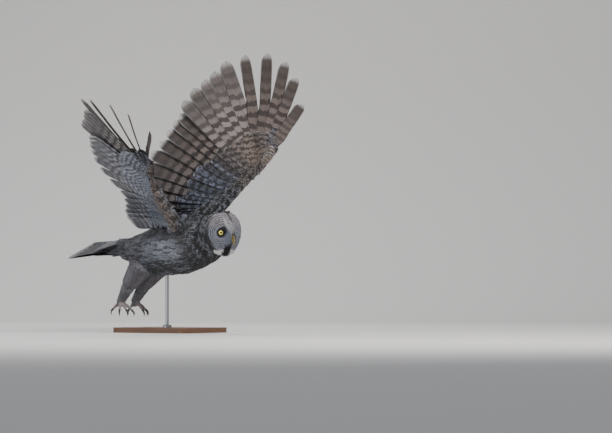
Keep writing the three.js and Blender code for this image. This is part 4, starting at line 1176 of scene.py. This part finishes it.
def tufts(name, count, left, up, sink, flow, normal, length, width, colour):
    """Loose longer feathers of the face: places across and up it, and the way they point."""
    for sign, label in ((1, "left"), (-1, "right")):
        n = int(count / ease)
        across = sign * np.abs(rng.normal(*left, n))
        high = rng.normal(*up, n)
        on_disc = disc_radius(across, high) < 0.93
        across, high = across[on_disc], high[on_disc]
        n = len(across)
        spots = on_head(face_depth(across, high) - sink, across, high)
        way = flow[0] * FACE_OUT + flow[1] * sign * FACE_LEFT + flow[2] * UP
        looks_way = unit(normal[0] * FACE_OUT + normal[1] * sign * FACE_LEFT + normal[2] * UP)
        shade = (np.asarray(colour) * (1 + 0.12 * rng.standard_normal((n, 1)))).clip(0, 0.95)
        looks = (np.full(n, HEAD_PART), shade, shade * 0.6, np.tile([0.0, 0, 0.3, 0], (n, 1)))
        small_feathers(
            f"{name}_{label}", spots, np.tile(looks_way, (n, 1)), np.tile(way, (n, 1)),
            np.full(n, float(length)), np.full(n, float(width)), np.full(n, TUFT_LIFT),
            looks, 2,
        )


TUFT_LIFT = 0.05
BROW, BETWEEN_BROWS = srgb(0.72, 0.71, 0.73), srgb(0.30, 0.27, 0.27)
LORE, FOREHEAD = srgb(0.36, 0.39, 0.44), srgb(0.24, 0.20, 0.19)
tufts("brow_tufts", 150, (5, 1.8), (10, 12), 2, (1.0, 0.45, 0.25), (0.2, 1, 0), 10, 1.9, BROW)
tufts("middle_tufts", 110, (2, 1.5), (24, 12), 2, (1.0, 0.0, 0.6), (0.2, 1, 0), 7, 2.0, BETWEEN_BROWS)
tufts("lore_bristles", 260, (6, 2.6), (-13, 6), 2, (1.0, -0.1, -0.6), (0.5, 0.9, 0), 18, 1.4, LORE)
tufts("dark_bristles", 120, (4, 2.2), (-12, 5), 2, (1.0, -0.12, -0.6), (0.5, 0.9, 0), 20, 0.9, BLACK * 1.5)
tufts("moustache", 260, (27, 9), (-69, 4.5), 1, (0.15, 0.75, -0.5), (1, 0.2, 0.1), 8.5, 2.4, WHITE * 0.95)
tufts("chin_tufts", 190, (0, 8), (-64, 10), 1, (0.2, 0.05, -1), (1, 0.1, 0.1), 9, 2.6, BLACK * 1.3)
tufts("forehead_tufts", 90, (4, 6), (61, 3), 2, (0.35, 0.2, 1), (1, 0, -0.3), 7, 2.4, FOREHEAD)
print("coat so far", coat_triangles, "triangles")

# %% [markdown]
# Large feathers: a vane is a grid of points with a raised shaft, a camber across and a bow along it,
# thin at its edges, closed underneath by a second sheet. Seeded notches break its edges where barbs
# have parted.

# %% shape of a vane
ACROSS_STEPS = np.array([-1, -0.82, -0.5, -0.2, -0.045, 0.045, 0.2, 0.5, 0.82, 1.0])


def vane_width(t, kind):
    width = np.minimum(1, 0.20 + 2.6 * t) ** 0.8
    if kind == "finger":
        width = width * (1 - 0.20 * smooth((t - 0.30) / 0.22))
    bend = 0.88 if kind == "secondary" else 0.90
    rounded = np.sqrt(np.clip(1 - ((t - bend) / (1 - bend)).clip(0, 1) ** 2, 0, 1))
    return width * np.where(t > bend, rounded, 1)


def vane_arrays(place, size, lead, kind, rows, look):
    """Points, faces and looks of one large feather, in millimetres.

    `place` is its root and the ways of its shaft, its side and its upper face; `size` its length,
    width, bow and sweep; `look` the colours of its two faces, of its marks, and the marks.
    """
    root, out, side, up = place
    length, width, bow, sweep = size
    top, under, dark, marks = look
    t = 1 - (1 - np.linspace(0, 1, rows + 1)) ** 1.25
    half = 0.5 * width * vane_width(t, kind)
    half[0] = 1.0
    half[-1] = max(0.5, 0.05 * width)
    u = ACROSS_STEPS
    cols = len(u)
    leading = 0.78 if kind in ("primary", "finger") else 0.92
    scale = np.where(u * lead > 0, leading, 2 - leading)
    jag = 1 + 0.010 * rng.standard_normal((rows + 1, 2))
    for _ in range(rng.integers(0, 2)):
        jag[rng.integers(rows // 3, rows - 6), rng.integers(0, 2)] *= 0.92
    edge = np.where(u[None, :] < 0, jag[:, :1], jag[:, 1:]) ** (np.abs(u[None, :]) ** 3)
    x = half[:, None] * (u * scale)[None, :] * edge
    ripple = 0.15 * np.sin(t * 19 + rng.uniform(0, 6))[:, None] * u[None, :] ** 2
    curve = {"secondary": 0.014, "covert": 0.035}.get(kind, 0.05) * width
    camber = ripple - curve * (u[None, :] ** 2) * (1 - 0.35 * t[:, None])
    shaft = 0.9 * (1 - 0.8 * t[:, None]) * np.exp(-((u / 0.09) ** 2))[None, :]
    thick = (0.55 - 0.25 * t[:, None]) * (1 - np.abs(u[None, :]) ** 3)
    centre = root + np.outer(length * t, out) + np.outer(bow * t * t, up) + np.outer(sweep * t * t, side)
    base = centre[:, None, :] + x[:, :, None] * side
    top_sheet = base + (camber + shaft + thick / 2)[:, :, None] * up
    low_sheet = base + (camber - 0.6 * shaft - thick / 2)[:, :, None] * up
    ids = np.arange((rows + 1) * cols).reshape(rows + 1, cols)
    inner = ids[1:-1, 1:-1]
    low_ids = ids.copy()
    low_ids[1:-1, 1:-1] = ids.size + np.arange(inner.size).reshape(inner.shape)
    points = np.concatenate([top_sheet.reshape(-1, 3), low_sheet[1:-1, 1:-1].reshape(-1, 3)])
    a, b, c, d = ids[:-1, :-1], ids[:-1, 1:], ids[1:, 1:], ids[1:, :-1]
    upper = np.stack([a, b, c, d], -1).reshape(-1, 4)
    a, b, c, d = low_ids[:-1, :-1], low_ids[:-1, 1:], low_ids[1:, 1:], low_ids[1:, :-1]
    lower = np.stack([a, d, c, b], -1).reshape(-1, 4)
    if np.dot(np.cross(side, out), up) < 0:
        upper, lower = upper[:, ::-1], lower[:, ::-1]
    v = np.broadcast_to(t[:, None], x.shape)
    uu = np.broadcast_to(0.5 + 0.5 * u[None, :], x.shape)
    flat = np.stack([uu, v], -1)
    maps = np.concatenate([flat.reshape(-1, 2), flat[1:-1, 1:-1].reshape(-1, 2)])
    hidden = len(points) - ids.size
    grounds = np.concatenate([np.tile(top, (ids.size, 1)), np.tile(under, (hidden, 1))])
    darks, all_marks = (np.tile(values, (len(points), 1)) for values in (dark, marks))
    return points, np.concatenate([upper, lower]), maps, grounds, darks, all_marks


print("a vane has", len(ACROSS_STEPS), "points across")

# %% [markdown]
# All vanes of a wing are joined into a few meshes. Each vane is an island of its own on the flat map.

# %% joining vanes
ISLANDS_LEFT, ISLANDS_LOW, ISLANDS_IN_ROW = 0.755, 0.52, 26
ISLAND_STEP, ISLAND_SIZE = np.array([0.0092, 0.0170]), np.array([0.0082, 0.0156])
islands = 0


def join_vanes(name, vanes, nodes=()):
    """One object from a list of vane arrays."""
    global coat_triangles, islands
    points, quads, maps, grounds, darks, marks = (list(column) for column in zip(*vanes))
    bake = []
    base = 0
    for k, flat in enumerate(maps):
        quads[k] = quads[k] + base
        base += len(points[k])
        cell = np.array([islands % ISLANDS_IN_ROW, islands // ISLANDS_IN_ROW])
        bake.append((ISLANDS_LEFT, ISLANDS_LOW) + cell * ISLAND_STEP + flat * ISLAND_SIZE)
        islands += 1
    quads = np.concatenate(quads)
    maps = {"feather": np.concatenate(maps), "OFBake": np.concatenate(bake)}
    colours = {
        "ground": np.concatenate(grounds).clip(0, 0.95),
        "dark": np.concatenate(darks),
        "marks": np.concatenate(marks),
    }
    made = coat_piece(name, np.concatenate(points), quads.ravel(), np.full(len(quads), 4), maps, colours)
    made.data.materials.append(vane_material)
    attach(made, "root")
    if nodes:
        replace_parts(made, *nodes)
    coat_triangles += 2 * len(quads)
    print(name, len(vanes), "vanes", 2 * len(quads), "triangles")


print("flat map has room for", ISLANDS_IN_ROW, "vanes in a row")

# %% [markdown]
# Each wing has ten primaries and thirteen secondaries, which overlap like shingles. The outer
# primaries narrow towards their tips, so that they stand apart like fingers.

# %% flight feathers


def vane_sides(upper, out, sign, turn=SHINGLE):
    side = unit(np.cross(upper, out))
    up = unit(np.cross(out, side))
    side = math.cos(turn * sign) * side + math.sin(turn * sign) * up
    return side, unit(np.cross(out, side))


def vary(colour, amount=0.08):
    return np.asarray(colour) * (1 + amount * rng.standard_normal())


def flights(wing):
    hand, arm = [], []
    for root, out, upper, length, chord, *_, rank in wing.rows:
        primary = rank >= 0
        twist = FINGER_TWIST[wing.sign] * (rank - 4) / 5 if rank >= 5 else 0
        side, up = vane_sides(upper, out, wing.sign, SHINGLE + twist)
        lead = 1 if side.dot(chord) < 0 else -1
        if primary:
            kind = "finger" if rank >= 5 else "primary"
            top = mix(srgb(0.52, 0.48, 0.47), srgb(0.39, 0.34, 0.32), 0.8 * (rank >= 5))
            under = mix(srgb(0.54, 0.52, 0.53), srgb(0.40, 0.345, 0.31), rank >= 5)
            dark = srgb(0.185, 0.16, 0.155)
            marks = (9.4 / BAR_SCALE, 0.05 * rank % 1, 0.85 if rank < 9 else 0.6, 0.45)
            args = (49 if rank >= 5 else 52, 14, wing.sign * 6)
        else:
            kind = "secondary"
            t = (-1 - rank) / SECONDARIES
            top = mix(srgb(0.43, 0.385, 0.365), srgb(0.33, 0.32, 0.34), t)
            under = srgb(0.56, 0.57, 0.61)
            dark = srgb(0.15, 0.13, 0.13)
            marks = (8.6 / BAR_SCALE, 0.3 + 0.03 * (-1 - rank), 0.9, 0.7)
            args = (50 if wing.sign > 0 else 62, -4, 0)
        width, bow, sweep = args
        size = (length * (1 + 0.010 * rng.standard_normal()), width, bow, sweep)
        look = (vary(top), vary(under), vary(dark), marks)
        made = vane_arrays((root, out, side, up), size, lead, kind, 30, look)
        (hand if primary else arm).append(made)
    return hand, arm


print("flight feathers ready")

# %% [markdown]
# Coverts lie in tiers over the roots of the flight feathers. A tier says how many there are, their
# lengths from the tip of the wing to the body, their width, how far ahead of the roots they start,
# whether they are above (1) or below (-1), and how many bars they have. The alula is at the wrist.

# %% coverts
TIERS = [
    (27, (92, 124, 142, 122), 34, 8, 1, 5),
    (32, (64, 86, 108, 96), 30, 12, 1, 4),
    (38, (44, 62, 80, 72), 26, 20, 1, 3),
    (40, (36, 42, 44, 46), 20, 33, 1, 2),
    (42, (30, 34, 38, 42), 18, 43, 1, 2),
    (27, (84, 124, 132, 100), 34, 5, -1, 6.15),
    (32, (56, 84, 92, 74), 28, 14, -1, 6.1),
    (34, (40, 48, 50, 48), 22, 24, -1, 2),
]
ALULA_LENGTH = (98, 80, 62, 46)
ALULA_COLOURS = (srgb(0.45, 0.40, 0.37), srgb(0.5, 0.46, 0.43), srgb(0.22, 0.2, 0.19))


def coverts(wing):
    """Coverts of the wing in tiers, above and below the flight feathers."""
    made = []
    for number, lengths, width, ahead, face_sign, bars in TIERS:
        for k in range(number):
            s = 0.03 + 0.955 * (k + 0.5) / number + 0.006 * rng.standard_normal()
            root, out, upper, _, chord, half, deep, offset, *_ = wing.at(np.clip(s, 0, 1))
            here = ahead * (0.55 + 0.45 * smooth(s / 0.45))
            x = (offset - here) / half
            height = deep * math.sqrt(max(0.12, 1 - x * x)) - 1.2
            length = between(lengths, s) * (1 + 0.06 * rng.standard_normal())
            start = root - chord * here + upper * (face_sign * height)
            settle = face_sign * (2.0 - 0.85 * height)
            direction = unit(out * length + upper * settle)
            side, up = vane_sides(upper, direction, wing.sign, SHINGLE * (1.0 if face_sign > 0 else 0.4))
            lead = 1 if side.dot(chord) < 0 else -1
            wrist_patch = smooth(1 - abs(s - 0.34) / 0.30)
            if face_sign > 0:
                inner = mix(srgb(0.42, 0.44, 0.51), srgb(0.20, 0.21, 0.25), rng.random())
                outer = mix(srgb(0.48, 0.425, 0.39), srgb(0.36, 0.31, 0.285), rng.random())
                top = mix(inner, outer, np.clip(wrist_patch * 0.9 + 0.5 * (s < 0.3), 0, 1))
                dark = mix(srgb(0.075, 0.075, 0.09), srgb(0.185, 0.155, 0.14), wrist_patch * 0.8)
                strength, edge = 0.85, 0.22
            else:
                top = mix(srgb(0.46, 0.49, 0.55), srgb(0.58, 0.60, 0.66), rng.random())
                dark = srgb(0.15, 0.145, 0.16)
                strength, edge = (0.8 if bars > 4 else 0.55), 0.25
            phase = rng.random() if bars < 6 else 0.25 + 0.08 * rng.random()
            colour = vary(top)
            look = (colour, colour, dark, (bars / BAR_SCALE, phase, strength, edge))
            place = (start, direction, side, up)
            made.append(vane_arrays(place, (length, width, 0, 0), lead, "covert", 12, look))
    for i, length in enumerate(ALULA_LENGTH):
        root = wing.wrist + wing.in_hand(MANUS_ANGLE) * (10 + 6 * i)
        root = root - wing.chord * 12 + wing.upper * (6 + 1.4 * i)
        out = wing.in_hand(MANUS_ANGLE + 14 - 3 * i)
        side, up = vane_sides(wing.upper, out, wing.sign)
        look = (*ALULA_COLOURS, (4 / BAR_SCALE, rng.random(), 0.7, 0.5))
        made.append(vane_arrays((root, out, side, up), (length, 25, 2, 0), 1, "primary", 14, look))
    return made


print(len(TIERS), "tiers of coverts")

# %% [markdown]
# Three tiers of scapulars cover the joint between wing and back. Then both wings are dressed.

# %% scapulars and both wings


def scapulars(wing):
    made = []
    for tier, (length, rise) in enumerate(((112, 14), (84, 17), (60, 19))):
        for i in range(7):
            root = wing.shoulder + wing.arm_axis * (-6 + 10 * i)
            root = root + wing.arm_chord * (18 - 14 * tier) + wing.arm_upper * (rise - 0.6 * i)
            out = unit(wing.body_chord + wing.arm_chord * 0.10 * i + wing.arm_upper * 0.02)
            side, up = vane_sides(wing.arm_upper, out, wing.sign)
            marks = (3 / BAR_SCALE, rng.random(), 0.9, 0.9 if i in (2, 3) else 0.5)
            top = mix(srgb(0.50, 0.51, 0.56), srgb(0.34, 0.34, 0.38), rng.random())
            look = (vary(top), vary(top), srgb(0.14, 0.14, 0.15), marks)
            made.append(vane_arrays((root, out, side, up), (length, 30, -8, 0), 1, "covert", 14, look))
    return made


for sign, label in ((1, "left"), (-1, "right")):
    wing = wings[sign]
    hand, arm = flights(wing)
    join_vanes(f"primaries_{label}", hand, (f"wing_{label}_hand",))
    join_vanes(f"secondaries_{label}", arm, (f"wing_{label}_arm",))
    join_vanes(f"coverts_{label}", coverts(wing))
    join_vanes(f"scapulars_{label}", scapulars(wing))

# %% [markdown]
# Six long feathers a side, under each other like a roof, with three tiers of coverts above and below.

# %% tail
tail_vanes = []


def tail_vane(sign, place, start, length, width, height, slope, bars, rows):
    spread = sign * TAIL_FAN * place
    out = unit(math.cos(spread) * BACK + math.sin(spread) * ACROSS + slope * TAIL_UP)
    flat = math.cos(spread) * ACROSS - math.sin(spread) * BACK
    tilt = sign * TAIL_ROOF * place
    side = math.cos(tilt) * flat - math.sin(tilt) * TAIL_UP
    up = math.cos(tilt) * TAIL_UP + math.sin(tilt) * flat
    root = TAIL_ROOT + BACK * start + ACROSS * sign * (2 + 18 * place)
    root = root + TAIL_UP * (height - (0 if sign > 0 else 1.1))
    top = mix(srgb(0.29, 0.30, 0.33), srgb(0.37, 0.37, 0.40), rng.random())
    marks = (bars / BAR_SCALE, 0.1 + 0.04 * rng.random(), 0.85, 0.3)
    look = (vary(top), vary(top * 1.15), srgb(0.14, 0.135, 0.145), marks)
    place = (root, out, side, up)
    tail_vanes.append(vane_arrays(place, (length, width, -3, 0), sign, "secondary", rows, look))


for sign in (1, -1):
    for i in range(6):
        tail_vane(sign, (i + 0.5) / 6, 12, 230 - 12 * i, 46, 4 - 2.2 * i, 0, 7, 26)
    for tier, (length, rise, start) in enumerate(((108, 20, 8), (82, 23, -2), (60, 26, -12))):
        for i in range(5):
            place = (i + 0.4) / 5
            tail_vane(sign, place, start, length, 26, rise - 8 * place, -rise / 260, 3, 12)
            tail_vane(sign, place, start, length * 0.95, 26, -(rise - 1) + 3 * place, rise / 260, 2, 12)
join_vanes("tail_feathers", tail_vanes, ("tail",))
print("coat", coat_triangles, "triangles; islands", islands)

# %% [markdown]
# An eye is a glossy ball whose iris and pupil are rings of colour round the way it looks, with a
# slight bulge in front. A dark lid goes round it.

# %% eyes


def round_object(name, centre, way, ball_radius, colours, material_kind, bulge=0.0):
    """Ball of rings round `way`; colours lists (angle, colour) stops from the middle of the iris."""
    way = unit(way)
    side = unit(np.cross(UP, way))
    top = np.cross(way, side)
    angles = np.concatenate([np.linspace(1.5, 62, 40), np.linspace(66, 178, 22)])
    stops = [stop for stop, _ in colours]
    points, faces, tints = [], [], []
    around = 64
    for angle in angles:
        a = math.radians(angle)
        radius = ball_radius * (1 + bulge * smooth((46 - angle) / 30))
        for i in range(around):
            b = 2 * math.pi * i / around
            spot = way * math.cos(a) + (side * math.cos(b) + top * math.sin(b)) * math.sin(a)
            points.append(centre + radius * spot)
            tint = np.array([np.interp(angle, stops, [c[k] for _, c in colours]) for k in range(3)])
            streak = 1 + 0.13 * math.sin(b * 23 + 3 * math.sin(angle)) * (20 < angle < 44)
            tints.append(tint * streak)
    rows = len(angles)
    for r in range(rows - 1):
        for i in range(around):
            j = (i + 1) % around
            faces.append((r * around + i, (r + 1) * around + i, (r + 1) * around + j, r * around + j))
    points.append(centre + way * ball_radius * (1 + bulge))
    points.append(centre - way * ball_radius)
    tints += [np.array(colours[0][1]), np.array(colours[-1][1])]
    for i in range(around):
        j = (i + 1) % around
        faces.append((rows * around, i, j))
        faces.append((rows * around + 1, (rows - 1) * around + j, (rows - 1) * around + i))
    made = make_object(name, np.array(points) * MM, faces)
    set_colour(made.data, "tint", np.array(tints).clip(0, 1))
    made.data.materials.append(material_kind)
    return made


eye_material = bpy.data.materials.new("eye")
eye_material.use_nodes = True
eye_graph = Graph(eye_material)
eye_shader = eye_material.node_tree.nodes["Principled BSDF"]
tint = eye_graph.node("ShaderNodeAttribute", attribute_name="tint")
eye_graph.join(tint.outputs["Color"], eye_shader.inputs["Base Color"])
eye_shader.inputs["Roughness"].default_value = 0.14
eye_shader.inputs["Coat Weight"].default_value = 0.5
eye_shader.inputs["Coat Roughness"].default_value = 0.02
YELLOW, AMBER = srgb(0.95, 0.90, 0.30), srgb(0.80, 0.74, 0.18)
IRIS = [
    (0, BLACK * 0.4), (18, BLACK * 0.4), (19.5, AMBER), (24, YELLOW),
    (34, YELLOW), (37, AMBER), (39, BLACK), (180, BLACK),
]
LID_STEPS, LID_SIDES, LID_OUT, LID_INSIDE = 48, 10, 7.6, 1.9
# The lids' own dark colour, which also paints the shade inside the nostrils.
lid_and_nostril_shade_material = plain_material("lid", (0.07, 0.065, 0.065), 0.6)


def lid_ring(centre, looks_to):
    """Points and faces of the dark lids round an eye, a ring that is a little thicker above."""
    side = unit(np.cross(UP, looks_to))
    top = np.cross(looks_to, side)
    points, faces = [], []
    for i in range(LID_STEPS):
        b = 2 * math.pi * i / LID_STEPS
        around = side * math.cos(b) + top * math.sin(b) * (0.90 if math.sin(b) > 0 else 0.96)
        thick = 1.5 + 0.5 * max(0, math.sin(b))
        spot = centre + looks_to * LID_OUT + around * (EYE_RADIUS - LID_INSIDE)
        here, there = i * LID_SIDES, (i + 1) % LID_STEPS * LID_SIDES
        for j in range(LID_SIDES):
            c = 2 * math.pi * j / LID_SIDES
            k = (j + 1) % LID_SIDES
            points.append(spot + (around * math.cos(c) + looks_to * math.sin(c)) * thick)
            faces.append((here + j, there + j, there + k, here + k))
    return points, faces


for sign, label in ((1, "left"), (-1, "right")):
    centre = on_head(EYE_DEPTH, sign * EYE_SIDE, EYE_UP)
    looks_to = unit(FACE_OUT + FACE_LEFT * 0.42 * sign)
    eye = round_object(f"eye_{label}_ball", centre, looks_to, EYE_RADIUS, IRIS, eye_material, 0.02)
    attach(eye, "root")
    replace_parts(eye, f"eye_{label}")
    lid_points, lid_faces = lid_ring(centre, looks_to)
    lid = make_object(f"lids_{label}", np.array(lid_points) * MM, lid_faces)
    lid.data.materials.append(lid_and_nostril_shade_material)
    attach(lid, "root")
print("eyes done")

# %% [markdown]
# The bill is built in two halves from rings that narrow and hook down, with the line of the mouth
# between them and a small black ball on each side as the painted shade of a nostril.

# %% bill
bill_material = plain_material("bill", (0.52, 0.45, 0.22), 0.45)


def bill_half(name, lower):
    rings = []
    steps = 16
    length = BILL_LENGTH * (0.66 if lower else 1)
    depth = FACE_DEPTH + BILL_FORWARD
    for s in range(steps):
        t = s / steps
        bend = math.radians(52 if lower else 34 + 62 * t)
        if lower:
            rise = BILL_TOP - 5 - length * t * math.sin(bend)
            out = depth - 3 + length * t * math.cos(bend) * 0.42
        else:
            rise = BILL_TOP - length * math.sin(math.radians(28 + 44 * t)) * t
            out = depth + length * t * 0.62 * math.cos(bend * 0.75)
        radius = (0.30 if lower else 0.42) * BILL_WIDTH * math.sqrt(1 - t)
        normal = unit(FACE_OUT * math.sin(bend) + UP * math.cos(bend))
        turn = np.linspace(0, 2 * np.pi, 20, endpoint=False)
        sharp = 1 + 0.10 * np.cos(turn * 2 - np.pi)
        centre = on_head(out, 0, rise)
        tall = radius * (0.7 if lower else 1.1)
        wide = np.outer(np.cos(turn) * radius * 0.70 * sharp, FACE_LEFT)
        rings.append(list(centre + wide + np.outer(np.sin(turn) * tall, normal)))
    end = on_head(depth + (3 if lower else 10), 0, BILL_TOP - (5 + length * 0.86 if lower else length))
    start = on_head(depth - (13 if lower else 9), 0, BILL_TOP + (0 if lower else 6))
    points, faces = [], []
    loft(rings, start, end, points, faces)
    made = make_object(name, np.array(points) * MM, faces)
    made.data.materials.append(bill_material)
    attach(made, "root")
    return made


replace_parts(bill_half("bill_top", False), "bill_upper")
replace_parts(bill_half("bill_under", True), "bill_lower")
for sign, label in ((1, "left"), (-1, "right")):
    # A small black ball on each side is painted shade where the nostril's hole is.
    nostril_shade = round_object(
        f"nostril_{label}", on_head(FACE_DEPTH + BILL_FORWARD + 3.4, sign * 0.38 * BILL_WIDTH, BILL_TOP - 5),
        FACE_OUT * 0.5 + FACE_LEFT * sign, 1.5, [(0, BLACK), (180, BLACK)], lid_and_nostril_shade_material,
    )
    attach(nostril_shade, "root")
print("bill done")

# %% [markdown]
# Claws: dark horn cones that leave the toe's end and hook down to a point. They are bent limbs with
# more rings than the solids have.

# %% claws
claw_material = plain_material("claw", (0.12, 0.11, 0.105), 0.32)
for sign, label in ((1, "left"), (-1, "right")):
    for i in range(4):
        _, _, end, ahead = toe_line(sign, i)
        steps = ((0.02, 0.02), (0.26, 0.24), (0.37, 0.50), (0.36, 0.74), (0.27, 0.95))
        path = [end + ahead * forward * CLAW_LENGTH + DOWN * drop * CLAW_LENGTH for forward, drop in steps]
        points, faces = [], []
        limb(path, [4.1, 3.4, 2.6, 1.5, 0.5], 14, 0, points, faces)
        claw = make_object(f"claw_horn_{label}_{i + 1}", np.array(points) * MM, faces)
        claw.data.materials.append(claw_material)
        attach(claw, "root")
        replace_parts(claw, f"claw_{label}_{i + 1}")
print("claws done")

# %% [markdown]
# Stand: the base and the rod are shown as the solids they are, with a turned edge on the board, a
# dark wood with fine grain and a plain metal rod.

# %% stand
wood = plain_material("stand wood", (0.33, 0.22, 0.15), 0.42)
g = Graph(wood)
wood_shader = wood.node_tree.nodes["Principled BSDF"]
spread = g.node("ShaderNodeMapping")
g.join(g.node("ShaderNodeTexCoord").outputs["Object"], spread.inputs["Vector"])
spread.inputs["Scale"].default_value = (3, 60, 60)
grain = g.node("ShaderNodeTexNoise")
g.join(spread.outputs[0], grain.inputs["Vector"])
grain.inputs["Scale"].default_value = 3
grain.inputs["Detail"].default_value = 6
grained = g.blend(grain.outputs[0], srgb(0.22, 0.14, 0.09), srgb(0.46, 0.32, 0.21))
g.join(grained, wood_shader.inputs["Base Color"])
metal = plain_material("stand metal", (0.62, 0.63, 0.64), 0.28, 1.0)
for node, material, slot in (("stand_base", wood, "stand_wood"), ("stand_rod", metal, "stand_metal")):
    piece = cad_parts[node]
    piece.data.materials.clear()
    piece.data.materials.append(material)
    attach(piece, "root")
print("stand shown")

# %% [markdown]
# Last, the box of the finished looks is measured and printed.

# %% finish
low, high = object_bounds()
print("looks box", [round(x, 3) for x in low], [round(x, 3) for x in high])
